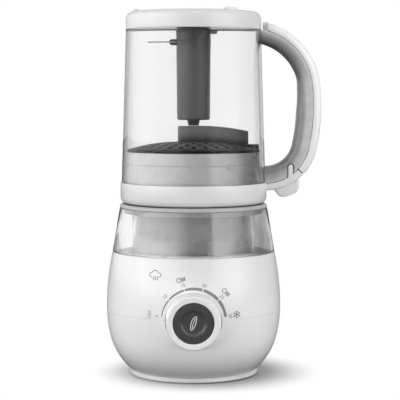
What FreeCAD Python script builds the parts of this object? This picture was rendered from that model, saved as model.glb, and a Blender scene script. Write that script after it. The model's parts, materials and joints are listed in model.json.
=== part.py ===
import FreeCAD, Part
import math
import os

import Sketcher

# A baby food maker in its steaming position: a round base with a clear water tank, and on it
# a clear jar that stands upside down on its lid. Front is -Y, the handle is at +X, Z is up,
# and the origin is on the table under the middle of the base. All sizes are in millimetres.

SIZES = {
    # Base housing
    "foot_height": 1.0,             # rubber feet below the base plate
    "foot_radius": 6.0,
    "foot_circle": 46.0,            # circle of the outer feet; one more is in the middle
    "plate_rim_radius": 56.0,       # flared rim of the base plate, at its lower edge
    "plate_top": 4.7,               # height at which the lower housing sits on the plate
    "plate_floor": 3.0,             # thickness of the plate's floor
    "plate_lip_height": 3.3,        # lip that centres the lower housing
    "plate_lip_wall": 2.5,
    "housing_wall": 2.6,
    "housing_foot_radius": 54.8,    # housing where it meets the plate
    "housing_foot_wall": 3.8,       # its wall there, cut level
    "housing_shoulder_height": 30.5,
    "housing_belly_radius": 75.0,   # widest radius
    "housing_belly_height": 58.0,
    "housing_top_height": 106.0,    # where it meets the tank
    "housing_lower_bend": 104.0,    # bend radius from the belly to the shoulder
    "housing_foot_bend": 52.4,      # bend radius from the shoulder to the foot
    "housing_upper_bend": 220.0,    # bend radius from the belly to the tank
    "parting_height": 56.0,         # joint between the two housings, through the dial's axis
    "parting_groove": 0.4,
    "roof_thickness": 3.0,
    "roof_hole_radius": 24.0,
    "tower_radius": 4.5,            # screw towers from the roof down to the plate
    "tower_circle": 42.0,
    "screw_radius": 1.5,
    "screw_head_radius": 2.8,
    "screw_head_height": 2.0,
    "screw_length": 12.0,
    "gland_height": 18.0,           # mains cord outlet at the back
    "gland_radius": 6.0,
    "gland_bore": 3.2,
    "gland_length": 14.0,
    "gland_end": 72.0,
    # Water tank, its core and the deck that the jar stands on
    "tank_wall": 2.4,
    "tank_top_radius": 63.3,
    "tank_top_height": 143.5,
    "tank_core_wall": 2.0,
    "tank_floor": 3.0,
    "tank_room": 12.7,              # from the tank's top edge in to the core
    "core_wall": 1.6,
    "deck_thickness": 3.5,
    "deck_edge_round": 2.6,
    "deck_skirt_depth": 4.6,
    "deck_skirt_wall": 2.4,
    "deck_hub_radius": 13.0,
    "deck_hub_depth": 6.0,
    "filler_width": 26.0,           # filling slot at the back of the deck
    "filler_depth": 6.0,
    "filler_inset": 6.3,
    "port_inset": 12.6,             # steam port inside the core, towards the handle
    "port_radius": 7.5,
    "port_bore": 4.2,
    "port_flange": 1.6,
    # Motor
    "shaft_radius": 4.0,
    "shaft_bottom": 18.0,
    "shaft_stand": 9.0,            # shaft above the deck
    "shaft_clearance": 0.05,
    "shaft_seal_radius": 9.0,
    "motor_radius": 27.0,
    "motor_wall": 2.0,
    "motor_bottom": 34.0,
    "motor_top": 86.0,
    "motor_cap_height": 4.0,
    "mount_radius": 33.0,
    "mount_thickness": 3.0,
    "mount_post_radius": 3.0,
    "mount_post_circle": 29.5,
    "bearing_radius": 8.0,
    "bearing_height": 7.0,
    "magnet_thickness": 2.5,
    "magnet_gap": 14.0,
    "magnet_bottom": 47.0,
    "magnet_top": 79.0,
    "armature_radius": 22.0,
    "armature_bottom": 49.0,
    "armature_top": 77.0,
    "armature_slot_width": 3.0,
    "armature_slot_depth": 7.0,
    "commutator_radius": 9.0,
    "commutator_bottom": 38.0,
    "brush_length": 8.0,
    "brush_side": 5.0,
    "brush_seat": 4.5,
    "running_gap": 0.3,             # between faces that pass each other
    "fan_bottom": 19.5,
    "fan_height": 7.0,
    "fan_radius": 24.0,
    "fan_hub_radius": 7.5,
    "fan_disc": 1.5,
    "fan_blade_thickness": 1.6,
    "drive_radius": 12.0,
    "drive_gap": 1.0,
    "drive_height": 9.0,
    "drive_slot_width": 4.0,
    "drive_slot_depth": 4.0,
    # Boiler
    "boiler_motor_gap": 1.1,        # boiler behind the motor
    "boiler_flange_width": 3.9,
    "boiler_housing_gap": 4.5,
    "boiler_bottom": 40.0,
    "boiler_top": 72.0,
    "boiler_wall": 2.5,
    "boiler_flange": 3.0,
    "boiler_cover": 4.0,
    "boiler_post_radius": 2.0,
    "boiler_post_inset": 2.2,
    "boiler_post_turn": 25.0,       # degrees by which the posts stand before the boiler
    "element_inset": 4.0,
    "element_radius": 3.0,
    "thermostat_radius": 6.5,
    "thermostat_height": 8.0,
    "hose_radius": 4.0,
    "hose_bore": 2.5,
    "hose_offset": 10.0,            # feed hose behind the boiler's axis
    "pipe_offset": 8.0,             # steam pipe before the boiler's axis
    "pipe_crossing": 122.0,         # height at which the pipe crosses to the port
    "pipe_bend": 12.0,
    "pipe_clearance": 0.4,
    # Dial, button and control board
    "dial_height": 56.0,
    "dial_front_radius": 22.2,
    "dial_rear_radius": 23.2,
    "dial_stand": 13.0,             # dial's face before the housing's widest point
    "dial_sink": 7.0,
    "dial_wall": 3.0,
    "dial_edge_round": 1.6,
    "dial_recess_depth": 8.5,
    "dial_gap": 0.9,                # ring of air round the dial in the housing
    "sleeve_radius": 14.3,
    "sleeve_bore": 12.5,
    "sleeve_gap": 0.5,              # sleeve behind the floor of the recess
    "guide_radius": 28.9,
    "guide_sink": 9.0,
    "guide_thickness": 2.5,
    "button_radius": 16.5,
    "button_gap": 0.4,
    "button_sink": 1.0,             # button's face behind the dial's
    "button_thickness": 3.4,
    "button_dish_radius": 10.0,     # hollow in the middle of the button's face
    "button_dish_bend": 62.0,
    "button_wall": 2.0,
    "button_cup_depth": 17.0,
    "button_pin_radius": 3.0,
    "button_pin_depth": 26.0,
    "board_sink": 19.4,
    "board_thickness": 1.6,
    "board_width": 44.0,
    "board_bottom": 22.0,
    "board_height": 68.0,
    "standoff_radius": 2.5,
    "standoff_side": 18.0,
    "switch_side": 10.0,
    "switch_depth": 2.2,
    "relay_width": 16.0,
    "relay_height": 19.0,
    "relay_depth": 12.0,
    "capacitor_radius": 5.5,
    "capacitor_length": 14.0,
    # Jar and its cap
    "jar_wall": 2.6,
    "jar_inset": 1.6,               # jar's wall inside the deck's edge
    "jar_wall_height": 130.7,      # tapered wall from the lid to the cap
    "jar_rim_step": 1.1,            # rim inside the lid, thinner than the wall
    "jar_rim_gap": 0.8,             # rim above the lid's pocket, for the seal
    "jar_taper": 4.0,
    "jar_neck_step": 2.5,           # part of the jar that the cap covers
    "jar_shoulder": 3.0,            # floor above the top of the tapered wall
    "jar_floor": 3.0,
    "jar_corner": 7.0,
    "cap_overhang": 0.2,            # cap beyond the jar's wall
    "cap_seam": 0.2,
    "cap_rise": 8.0,                # cap above the jar's floor
    "cap_thickness": 3.5,
    "cap_edge_round": 6.0,
    "cap_clearance": 0.3,
    "socket_radius": 20.0,          # recess for the drive in the cap
    "socket_wall": 2.5,
    "lug_height": 2.0,              # locking lugs on the cap
    "lug_inset": 7.9,               # middle of a lug inside the cap's edge
    "lug_width": 12.0,
    "lug_depth": 4.0,
    "lug_turn": -52.0,              # turn of the first lug about the axis, from the handle
    "bush_radius": 8.0,
    "bush_stand": 0.8,              # bush above the jar's floor
    "spindle_seal_height": 1.2,
    # Handle: three arcs in a row, in the upright plane through the axis
    "handle_reach": 102.6,          # joint between grip and cover, at its furthest
    "handle_middle_drop": 0.95,     # that point below the middle of the jar's wall
    "handle_side_bend": 165.7,
    "handle_low_drop": 0.77,        # lowest point of the joint below the jar's wall
    "handle_top_turn": 6.23,        # degrees up to the top bend
    "handle_low_turn": 12.5,        # degrees down to the low bend
    "grip_thickness": 14.2,
    "grip_depth": 21.0,
    "grip_wall": 2.4,
    "grip_round": 6.0,
    "grip_top_trim": 2.6,           # grip thinner at the top bend
    "cover_thickness": 6.8,
    "cover_round": 5.0,
    "cover_gap": 2.3,               # cover from the jar's mouth radius
    # Interlock rod inside the grip
    "rod_top_inset": 2.4,           # rod below the joint of grip and cover, at the top bend
    "rod_low_inset": 5.45,          # and at the low bend
    "rod_thickness": 3.2,
    "rod_width": 7.0,
    "rod_tip_gap": 2.3,             # tip beside the cap
    "rod_tip_width": 3.4,
    "rod_tip_rise": 4.4,            # tip above the jar's wall
    "rod_tip_seat": 0.4,            # tip's foot above the rod's inner face
    "rod_end_turn": 43.95,          # degrees round the low bend to the end on the lid's pin
    # Lid
    "lid_wall": 1.9,
    "lid_seat": 1.3,                # ledge under the collar
    "lid_seat_gap": 0.3,            # lid above the deck
    "lid_gap": 0.3,                 # lid below the jar's wall
    "lid_pocket_slack": 0.3,        # pocket round the jar's rim
    "lid_pocket_depth": 7.6,
    "lid_base_height": 10.1,
    "lid_edge_round": 5.0,
    "arm_gap": 0.4,
    "arm_thickness": 6.0,
    "arm_depth": 20.4,
    "arm_end_turn": 43.3,           # degrees round the low bend to the arm's end
    "arm_end_gap": 0.8,             # degrees between the arm and the cover
    "tab_thickness": 7.0,
    "tab_round": 2.6,
    "tab_left": 5.3,                # tab's corners from the middle of the low bend
    "tab_heel": 11.8,
    "tab_toe": 17.3,
    "tab_corner": 26.2,
    "tab_right": 28.8,
    "tab_depth": 6.2,               # tab below the arm at its left end
    "tab_corner_depth": 2.7,
    "tab_side_rise": 1.7,
    "tab_root": 3.0,                # how far the tab reaches up into the arm
    "pin_back": 4.16,               # pin from the corner of the rod's end
    "pin_width": 4.0,
    "pin_depth": 6.0,
    "pin_rise": 0.64,
    "pin_gap": 0.6,
    "seal_height": 0.6,
    "seal_slack": 0.2,
    "collar_slack": 0.8,            # collar inside the jar's mouth
    "collar_taper": 1.4,
    "collar_height": 34.1,
    "collar_wall": 2.0,
    "collar_floor": 2.5,
    "collar_rise": 2.7,             # collar's floor above the lid's underside
    "dome_radius": 18.5,
    "dome_rise": 13.5,
    "inlet_radius": 7.0,
    "inlet_bore": 4.5,
    "inlet_drop": 5.2,              # inlet below the collar's top
    "inlet_gap": 0.5,               # inlet above the deck
    # Strainer
    "strainer_wall": 2.0,
    "strainer_rise": 8.8,
    "strainer_skirt": 5.0,
    "strainer_slack": 0.2,
    "hood_radius": 13.4,
    "hood_inset": 10.5,             # hood's end inside the rim
    "hood_rise": 13.1,
    "hood_slope": 4.2,
    "hood_wall": 2.0,
    "step_inset": 1.3,
    "step_rise": 6.6,
    "step_width": 20.0,
    "sieve_hole_radius": 1.6,
    "sieve_first_row": 21.0,
    "sieve_row_step": 8.6,
    "sieve_margin": 2.6,            # plain strip beside the hood
    # Blade unit
    "hub_top_radius": 14.8,
    "hub_low_radius": 14.1,
    "hub_gap": 0.8,                 # hub below the jar's floor
    "hub_end_round": 1.6,
    "hub_tip_radius": 5.6,
    "hub_tip_end_radius": 4.4,
    "hub_tip_gap": 0.5,             # tip above the hood
    "hub_tip_length": 4.7,
    "hub_wall": 2.5,
    "hub_sleeve_wall": 2.5,
    "hub_floor": 5.0,
    "spindle_depth": 51.2,          # spindle inside the hub
    "spindle_stand": 5.0,
    "driven_radius": 12.0,
    "driven_gap": 1.0,
    "driven_height": 5.0,
    "carrier_reach": 20.5,
    "carrier_width": 16.0,
    "lower_carrier_drop": 17.3,     # carriers below the hub's top
    "upper_carrier_drop": 8.0,
    "carrier_height": 5.0,
    "blade_reach": 39.0,
    "blade_thickness": 1.0,
    "blade_root_width": 12.0,
    "blade_root_reach": 12.8,
    "blade_tip_sweep": 4.0,
    "blade_edge_bend": 40.0,
    "blade_back_bend": 60.0,
    "lower_blade_seat": 2.1,        # blades above the undersides of their carriers
    "upper_blade_seat": 2.8,
}

FOOT_ANGLES = (0, 90, 180, 270)
TOWER_ANGLES = (45, 135, 225, 315)
MOUNT_POST_ANGLES = (0, 90, 180, 270)
ARMATURE_SLOTS = 8
FAN_BLADES = 8
DRIVE_SLOTS = 4
CAP_LUGS = 3
SIEVE_ROWS = 4
SIEVE_ROW_HOLES = 6                 # holes added with each row

doc = FreeCAD.newDocument("baby_food_maker")
sheet = doc.addObject("Spreadsheet::Sheet", "sizes")
for row, (alias, number) in enumerate(SIZES.items(), start=1):
    sheet.set(f"A{row}", alias)
    sheet.set(f"B{row}", str(number))
    sheet.setAlias(f"B{row}", alias)
doc.recompute()

nodes = []


class Size:
    """A length known both as a number and as an expression on the sheet."""

    def __init__(self, value, text):
        self.value = value
        self.text = text

    def __add__(self, other):
        other = as_size(other)
        return Size(self.value + other.value, f"({self.text} + {other.text})")

    def __sub__(self, other):
        other = as_size(other)
        return Size(self.value - other.value, f"({self.text} - {other.text})")

    def __mul__(self, other):
        other = as_size(other)
        return Size(self.value * other.value, f"({self.text} * {other.text})")

    def __truediv__(self, other):
        other = as_size(other)
        return Size(self.value / other.value, f"({self.text} / {other.text})")

    def __neg__(self):
        return Size(-self.value, f"(0 - {self.text})")

    __radd__ = __add__
    __rmul__ = __mul__

    def __rsub__(self, other):
        return as_size(other) - self


def as_size(number):
    return number if isinstance(number, Size) else Size(number, repr(number))


def size(alias):
    """The sheet's value under that alias, with the expression that reads it."""
    return Size(sheet.get(alias), f"sizes.{alias}")


def root(length):
    return Size(math.sqrt(length.value), f"sqrt({length.text})")


def cosine(degrees):
    degrees = as_size(degrees)
    return Size(math.cos(math.radians(degrees.value)), f"cos({degrees.text} * 1deg)")


def sine(degrees):
    degrees = as_size(degrees)
    return Size(math.sin(math.radians(degrees.value)), f"sin({degrees.text} * 1deg)")


def bind(thing, field, length):
    """Set a property to a size and tie it to the sheet."""
    length = as_size(length)
    thing.setExpression(field, length.text)


def place(thing, at, turn=None):
    """Put a piece at a point, tied to the sheet, with an optional fixed rotation."""
    at = [as_size(coordinate) for coordinate in at]
    base = FreeCAD.Vector(*[coordinate.value for coordinate in at])
    thing.Placement = FreeCAD.Placement(base, turn or FreeCAD.Rotation())
    for axis, coordinate in zip("xyz", at):
        if coordinate.value != 0:
            bind(thing, f"Placement.Base.{axis}", coordinate)
    return thing


def node(thing, label):
    """Name a finished piece and list it for export."""
    thing.Label = label
    nodes.append(thing)
    return thing


# Plain solids and what is done with them

TURNS = {
    "x": FreeCAD.Rotation(FreeCAD.Vector(0, 1, 0), 90),
    "y": FreeCAD.Rotation(FreeCAD.Vector(1, 0, 0), -90),
    "z": FreeCAD.Rotation(),
}


def cylinder(name, radius, length, at=(0, 0, 0), along="z"):
    solid = doc.addObject("Part::Cylinder", name)
    bind(solid, "Radius", radius)
    bind(solid, "Height", length)
    return place(solid, at, TURNS[along])


def block(name, low, high):
    """A box between two opposite corners."""
    solid = doc.addObject("Part::Box", name)
    low = [as_size(coordinate) for coordinate in low]
    high = [as_size(coordinate) for coordinate in high]
    for field, start, end in zip(("Length", "Width", "Height"), low, high):
        bind(solid, field, end - start)
    return place(solid, low)


def fused(name, pieces):
    joined = doc.addObject("Part::MultiFuse", name)
    joined.Shapes = pieces
    joined.Refine = True
    return joined


def grouped(name, pieces):
    group = doc.addObject("Part::Compound", name)
    group.Links = pieces
    return group


def cut(name, base, tools):
    result = doc.addObject("Part::Cut", name)
    result.Base = base
    result.Tool = tools[0] if len(tools) == 1 else fused(name + "_tools", tools)
    result.Refine = True
    return result


def common(name, first, second):
    result = doc.addObject("Part::Common", name)
    result.Base = first
    result.Tool = second
    result.Refine = True
    return result


def tube(name, outer, inner, length, at=(0, 0, 0), along="z"):
    wall = cylinder(name + "_outside", outer, length, at, along)
    bore = cylinder(name + "_bore", inner, length, at, along)
    return cut(name, wall, [bore])


def around(radius, degrees, height):
    """A point on a circle about the axis."""
    return (radius * cosine(degrees), radius * sine(degrees), height)


# Sketched bodies


class Bow:
    """Makes the stretch to the next corner an arc that turns left (1) or right (-1)."""

    def __init__(self, radius, side):
        self.radius = as_size(radius)
        self.side = side


def corner_vector(corner):
    return FreeCAD.Vector(corner[0].value, corner[1].value, 0)


def add_arc(sketch, start, end, bow):
    """Draw an arc between two points and return it with its start and end marks."""
    chord = end - start
    reach = bow.radius.value
    height = math.sqrt(max(reach ** 2 - (chord.Length / 2) ** 2, 0))
    left = FreeCAD.Vector(-chord.y, chord.x, 0).normalize()
    centre = (start + end) * 0.5 + left * (height * bow.side)
    circle = Part.Circle(centre, FreeCAD.Vector(0, 0, 1), reach)
    first, last = (start, end) if bow.side > 0 else (end, start)
    begin = math.atan2(first.y - centre.y, first.x - centre.x)
    finish = math.atan2(last.y - centre.y, last.x - centre.x)
    if finish < begin:
        finish += 2 * math.pi
    geometry = sketch.addGeometry(Part.ArcOfCircle(circle, begin, finish), False)
    marks = (1, 2) if bow.side > 0 else (2, 1)
    index = sketch.addConstraint(Sketcher.Constraint("Radius", geometry, reach))
    sketch.setExpression(f"Constraints[{index}]", bow.radius.text)
    return (geometry,) + marks


def fix_point(sketch, geometry, mark, corner):
    """Hold a corner at its sheet coordinates, or on an axis where one of them is nil."""
    for kind, axis, length in (("DistanceX", -2, corner[0]), ("DistanceY", -1, corner[1])):
        if abs(length.value) < 1e-9:
            sketch.addConstraint(Sketcher.Constraint("PointOnObject", geometry, mark, axis))
        else:
            rule = Sketcher.Constraint(kind, -1, 1, geometry, mark, length.value)
            index = sketch.addConstraint(rule)
            sketch.setExpression(f"Constraints[{index}]", length.text)


def add_outline(sketch, outline, closed=True):
    """Draw an outline of corners, with bows for its arcs, fully tied to the sheet."""
    corners = []
    bows = {}
    for item in outline:
        if isinstance(item, Bow):
            bows[len(corners) - 1] = item
        else:
            corners.append([as_size(coordinate) for coordinate in item])
    edges = []
    stretches = len(corners) if closed else len(corners) - 1
    for index in range(stretches):
        start = corner_vector(corners[index])
        end = corner_vector(corners[(index + 1) % len(corners)])
        if index in bows:
            edges.append(add_arc(sketch, start, end, bows[index]))
        else:
            line = sketch.addGeometry(Part.LineSegment(start, end), False)
            edges.append((line, 1, 2))
    for index, (geometry, begin, finish) in enumerate(edges):
        fix_point(sketch, geometry, begin, corners[index])
        if not closed and index == len(edges) - 1:
            fix_point(sketch, geometry, finish, corners[-1])
            continue
        following = edges[(index + 1) % len(edges)]
        joint = Sketcher.Constraint("Coincident", geometry, finish, following[0], following[1])
        sketch.addConstraint(joint)


def sketched_body(name, plane_role, outline, offset=0):
    """A new body with one sketch on an origin plane, moved off it along its normal."""
    body = doc.addObject("PartDesign::Body", name)
    sketch = body.newObject("Sketcher::SketchObject", name + "_outline")
    plane = next(item for item in body.Origin.OriginFeatures if item.Role == plane_role)
    sketch.AttachmentSupport = [(plane, "")]
    sketch.MapMode = "FlatFace"
    offset = as_size(offset)
    if offset.value != 0:
        sketch.setExpression("AttachmentOffset.Base.z", offset.text)
    add_outline(sketch, outline)
    doc.recompute()
    return body, sketch


def turned(name, outline, plane_role="XZ_Plane", offset=0):
    """A body turned about the upright axis of its sketch."""
    body, sketch = sketched_body(name, plane_role, outline, offset)
    turn = body.newObject("PartDesign::Revolution", name + "_turn")
    turn.Profile = sketch
    turn.ReferenceAxis = (sketch, ["V_Axis"])
    turn.Angle = 360
    sketch.Visibility = False
    doc.recompute()
    return body


def turned_about_dial(name, outline):
    """A body turned about the dial's axis: corners are radius and distance along +Y."""
    return turned(name, outline, "XY_Plane", size("dial_height"))


def padded(name, outline, depth):
    """An upright plate, half of its depth on each side of the handle's plane."""
    body, sketch = sketched_body(name, "XZ_Plane", outline)
    pad = body.newObject("PartDesign::Pad", name + "_pad")
    pad.Profile = sketch
    pad.Midplane = True
    bind(pad, "Length", depth)
    sketch.Visibility = False
    doc.recompute()
    return body


def raised(name, outline, bottom, height):
    """A flat plate drawn from above and raised from its underside."""
    body, sketch = sketched_body(name, "XY_Plane", outline, bottom)
    pad = body.newObject("PartDesign::Pad", name + "_pad")
    pad.Profile = sketch
    bind(pad, "Length", height)
    sketch.Visibility = False
    doc.recompute()
    return body


def rounded(body, radius, wanted):
    """Round the edges of a body that the given test picks out."""
    last = body.Tip
    names = [f"Edge{number}" for number, edge in enumerate(last.Shape.Edges, 1) if wanted(edge)]
    if not names:
        raise ValueError(f"no edge to round on {body.Name}")
    fillet = body.newObject("PartDesign::Fillet", body.Name + "_round")
    fillet.Base = (last, names)
    bind(fillet, "Radius", radius)
    doc.recompute()
    return body


def near(first, second):
    return abs(first - second) < 0.01


def ring_edge(radius, height):
    """A test for the circular edge at that radius and height on the main axis."""
    radius = as_size(radius).value
    height = as_size(height).value

    def wanted(edge):
        if not isinstance(edge.Curve, Part.Circle):
            return False
        return near(edge.Curve.Radius, radius) and near(edge.Curve.Center.z, height)

    return wanted


# Base housing


def skin_radius(bend, height, inset=0):
    """Radius of the housing's skin at a height on one of its bends, or of a skin inside it."""
    bend = size(bend)
    rise = as_size(height) - size("housing_belly_height")
    reach = bend - inset
    return size("housing_belly_radius") - bend + root(reach * reach - rise * rise)


plate_bottom = size("foot_height")
plate_floor_top = plate_bottom + size("plate_floor")
roof_top = size("housing_top_height")
roof_bottom = roof_top - size("roof_thickness")
housing_wall = size("housing_wall")
foot_bore = size("housing_foot_radius") - size("housing_foot_wall")
tank_foot_radius = skin_radius("housing_upper_bend", roof_top)
belly = size("housing_belly_radius")
boiler_front = size("motor_radius") + size("boiler_motor_gap")
boiler_flange_radius = (belly - housing_wall - size("boiler_housing_gap") - boiler_front) / 2
boiler_radius = boiler_flange_radius - size("boiler_flange_width")
element_ring_radius = boiler_radius - size("element_inset")
boiler_post_offset = boiler_flange_radius - size("boiler_post_inset")
boiler_y = boiler_front + boiler_flange_radius
hose_y = boiler_y + size("hose_offset")
pipe_y = boiler_y - size("pipe_offset")
core_radius = size("tank_top_radius") - size("tank_room")
filler_distance = size("tank_top_radius") - size("filler_inset")
port_distance = core_radius - size("port_inset")
jar_mouth_radius = size("tank_top_radius") - size("jar_inset")
dial_front = belly + size("dial_stand")
dial_rear = belly - size("dial_sink")
dial_recess_floor = dial_front - size("dial_recess_depth")
sleeve_front = dial_recess_floor - size("sleeve_gap")
guide_front = belly - size("guide_sink")
button_front = dial_front - size("button_sink")
button_cup_rear = button_front - size("button_cup_depth")
button_pin_rear = button_front - size("button_pin_depth")
board_front = belly - size("board_sink")
board_top = size("board_bottom") + size("board_height")


def make_base_plate():
    lip = foot_bore - size("running_gap")
    lip_top = size("plate_top") + size("plate_lip_height")
    plate = turned("plate_body", [
        (0, plate_bottom),
        (size("plate_rim_radius"), plate_bottom),
        (size("housing_foot_radius"), size("plate_top")),
        (lip, size("plate_top")),
        (lip, lip_top),
        (lip - size("plate_lip_wall"), lip_top),
        (lip - size("plate_lip_wall"), plate_floor_top),
        (0, plate_floor_top),
    ])
    posts = []
    for number, turn in enumerate((0 - size("boiler_post_turn"), 180 + size("boiler_post_turn"))):
        x, y, _ = around(boiler_post_offset, turn, 0)
        height = size("boiler_bottom") - plate_bottom
        posts.append(cylinder(f"boiler_post_{number}", size("boiler_post_radius"), height,
                              (x, boiler_y + y, plate_bottom)))
    holes = []
    for degrees in TOWER_ANGLES:
        at = around(size("tower_circle"), degrees, 0)
        sunk = plate_bottom + size("screw_head_height")
        holes.append(cylinder(f"head_hole_{degrees}", size("screw_head_radius") + size("running_gap"),
                              sunk, at))
        holes.append(cylinder(f"shank_hole_{degrees}", size("screw_radius"), plate_floor_top + 1, at))
    node(cut("base_plate", fused("plate_with_posts", [plate] + posts), holes), "base_plate")


def make_feet_and_screws():
    feet = [cylinder("foot_middle", size("foot_radius"), size("foot_height"))]
    screws = []
    for degrees in FOOT_ANGLES:
        at = around(size("foot_circle"), degrees, 0)
        feet.append(cylinder(f"foot_{degrees}", size("foot_radius"), size("foot_height"), at))
    for degrees in TOWER_ANGLES:
        at = around(size("tower_circle"), degrees, plate_bottom)
        head = cylinder(f"head_{degrees}", size("screw_head_radius"), size("screw_head_height"), at)
        shank = cylinder(f"shank_{degrees}", size("screw_radius"), size("screw_length"), at)
        screws.append(fused(f"screw_{degrees}", [head, shank]))
    node(grouped("feet", feet), "rubber_feet")
    node(grouped("screws", screws), "base_screws")


def dial_hole(name):
    """The round hole for the dial, half in each housing."""
    radius = size("dial_rear_radius") + size("dial_gap")
    length = size("housing_belly_radius")
    return cylinder(name, radius, length, (0, 0 - length - size("housing_wall"), size("dial_height")),
                    "y")


def make_lower_housing():
    top = size("parting_height") - size("parting_groove") / 2
    shoulder = size("housing_shoulder_height")
    bend = "housing_lower_bend"
    shell = turned("lower_shell", [
        (size("housing_foot_radius"), size("plate_top")),
        Bow(size("housing_foot_bend"), 1),
        (skin_radius(bend, shoulder), shoulder),
        Bow(size(bend), 1),
        (skin_radius(bend, top), top),
        (skin_radius(bend, top, housing_wall), top),
        Bow(size(bend) - housing_wall, -1),
        (skin_radius(bend, shoulder, housing_wall), shoulder),
        Bow(size("housing_foot_bend") - housing_wall, -1),
        (foot_bore, size("plate_top")),
    ])
    gland_start = size("gland_end") - size("gland_length")
    gland_at = (0, gland_start, size("gland_height"))
    gland_hole = cylinder("gland_hole", size("gland_radius"), size("gland_length"), gland_at, "y")
    node(cut("lower_housing", shell, [dial_hole("lower_dial_hole"), gland_hole]), "lower_housing")
    gland = tube("gland", size("gland_radius"), size("gland_bore"), size("gland_length"), gland_at, "y")
    node(gland, "cord_gland")


def make_upper_housing():
    bottom = size("parting_height") + size("parting_groove") / 2
    belly = size("housing_belly_height")
    shell = turned("upper_shell", [
        (skin_radius("housing_lower_bend", bottom), bottom),
        Bow(size("housing_lower_bend"), 1),
        (size("housing_belly_radius"), belly),
        Bow(size("housing_upper_bend"), 1),
        (tank_foot_radius, roof_top),
        (size("roof_hole_radius"), roof_top),
        (size("roof_hole_radius"), roof_bottom),
        (skin_radius("housing_upper_bend", roof_bottom, housing_wall), roof_bottom),
        Bow(size("housing_upper_bend") - housing_wall, -1),
        (size("housing_belly_radius") - housing_wall, belly),
        Bow(size("housing_lower_bend") - housing_wall, -1),
        (skin_radius("housing_lower_bend", bottom, housing_wall), bottom),
    ])
    towers = []
    holes = [dial_hole("upper_dial_hole")]
    for degrees in TOWER_ANGLES:
        at = around(size("tower_circle"), degrees, plate_floor_top)
        height = roof_top - size("roof_thickness") / 2 - plate_floor_top
        towers.append(cylinder(f"tower_{degrees}", size("tower_radius"), height, at))
        foot = around(size("tower_circle"), degrees, plate_bottom)
        holes.append(cylinder(f"tower_hole_{degrees}", size("screw_radius"), size("screw_length"), foot))
    for name, distance in (("hose_hole", hose_y), ("pipe_hole", pipe_y)):
        radius = size("hose_radius") + size("pipe_clearance")
        holes.append(cylinder(name, radius, roof_top, (0, distance, size("parting_height"))))
    node(cut("upper_housing", fused("shell_with_towers", [shell] + towers), holes), "upper_housing")


# Water tank, core and deck

deck_bottom = size("tank_top_height")
deck_top = deck_bottom + size("deck_thickness")
core_skin = core_radius + size("seal_slack")


def make_tank():
    wall = size("tank_wall")
    floor_top = roof_top + size("tank_floor")
    inside = core_skin + size("tank_core_wall")
    draft = (tank_foot_radius - size("tank_top_radius")) / (deck_bottom - roof_top)
    tank = turned("tank_body", [
        (core_skin, roof_top),
        (tank_foot_radius, roof_top),
        (size("tank_top_radius"), deck_bottom),
        (size("tank_top_radius") - wall, deck_bottom),
        (tank_foot_radius - wall - draft * size("tank_floor"), floor_top),
        (inside, floor_top),
        (inside, deck_bottom),
        (core_skin, deck_bottom),
    ])
    outlet = cylinder("tank_outlet", size("hose_bore"), size("tank_floor"), (0, hose_y, roof_top))
    node(cut("tank", tank, [outlet]), "water_tank")
    core = tube("core", core_radius, core_radius - size("core_wall"),
                deck_bottom - roof_top, (0, 0, roof_top))
    node(core, "core_housing")


def make_deck():
    skirt = size("tank_top_radius") - size("tank_wall") - size("seal_slack")
    skirt_bottom = deck_bottom - size("deck_skirt_depth")
    hub_bottom = deck_top - size("deck_hub_depth")
    deck = turned("deck_body", [
        (size("shaft_seal_radius"), hub_bottom),
        (size("deck_hub_radius"), hub_bottom),
        (size("deck_hub_radius"), deck_bottom),
        (skirt - size("deck_skirt_wall"), deck_bottom),
        (skirt - size("deck_skirt_wall"), skirt_bottom),
        (skirt, skirt_bottom),
        (skirt, deck_bottom),
        (size("tank_top_radius"), deck_bottom),
        (size("tank_top_radius"), deck_top),
        (size("shaft_seal_radius"), deck_top),
    ])
    rounded(deck, size("deck_edge_round"), ring_edge(size("tank_top_radius"), deck_top))
    half = size("filler_width") / 2
    slot_start = filler_distance - size("filler_depth") / 2
    slot = block("filler_slot", (0 - half, slot_start, skirt_bottom),
                 (half, slot_start + size("filler_depth"), deck_top))
    port = cylinder("port_hole", size("port_radius"), size("deck_thickness"),
                    (port_distance, 0, deck_bottom))
    node(cut("deck", deck, [slot, port]), "deck")
    seal = tube("deck_shaft_seal", size("shaft_seal_radius"), size("shaft_radius") + size("shaft_clearance"),
                size("deck_hub_depth"), (0, 0, hub_bottom))
    node(seal, "shaft_seal")


def make_steam_nozzle():
    at_x = port_distance
    low = deck_bottom - size("port_flange")
    flange = cylinder("nozzle_flange", size("port_radius") + size("port_flange"), size("port_flange"),
                      (at_x, 0, low))
    neck = cylinder("nozzle_neck", size("port_radius"), deck_top - low, (at_x, 0, low))
    bore = cylinder("nozzle_bore", size("port_bore"), deck_top - low, (at_x, 0, low))
    node(cut("nozzle", fused("nozzle_solid", [flange, neck]), [bore]), "steam_nozzle")


# Motor


def spoke(name, start, end, width, bottom, top, degrees):
    """A bar that points away from the axis at an angle."""
    bar = doc.addObject("Part::Box", name)
    start = as_size(start)
    width = as_size(width)
    bind(bar, "Length", as_size(end) - start)
    bind(bar, "Width", width)
    bind(bar, "Height", as_size(top) - bottom)
    half = width / 2
    corner_x = start * cosine(degrees) + half * sine(degrees)
    corner_y = start * sine(degrees) - half * cosine(degrees)
    turn = FreeCAD.Rotation(FreeCAD.Vector(0, 0, 1), as_size(degrees).value)
    return place(bar, (corner_x, corner_y, bottom), turn)


shaft_hole = size("shaft_radius") + size("shaft_clearance")
mount_top = size("motor_top") + size("mount_thickness")
cap_bottom = size("motor_bottom") - size("motor_cap_height")


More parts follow.
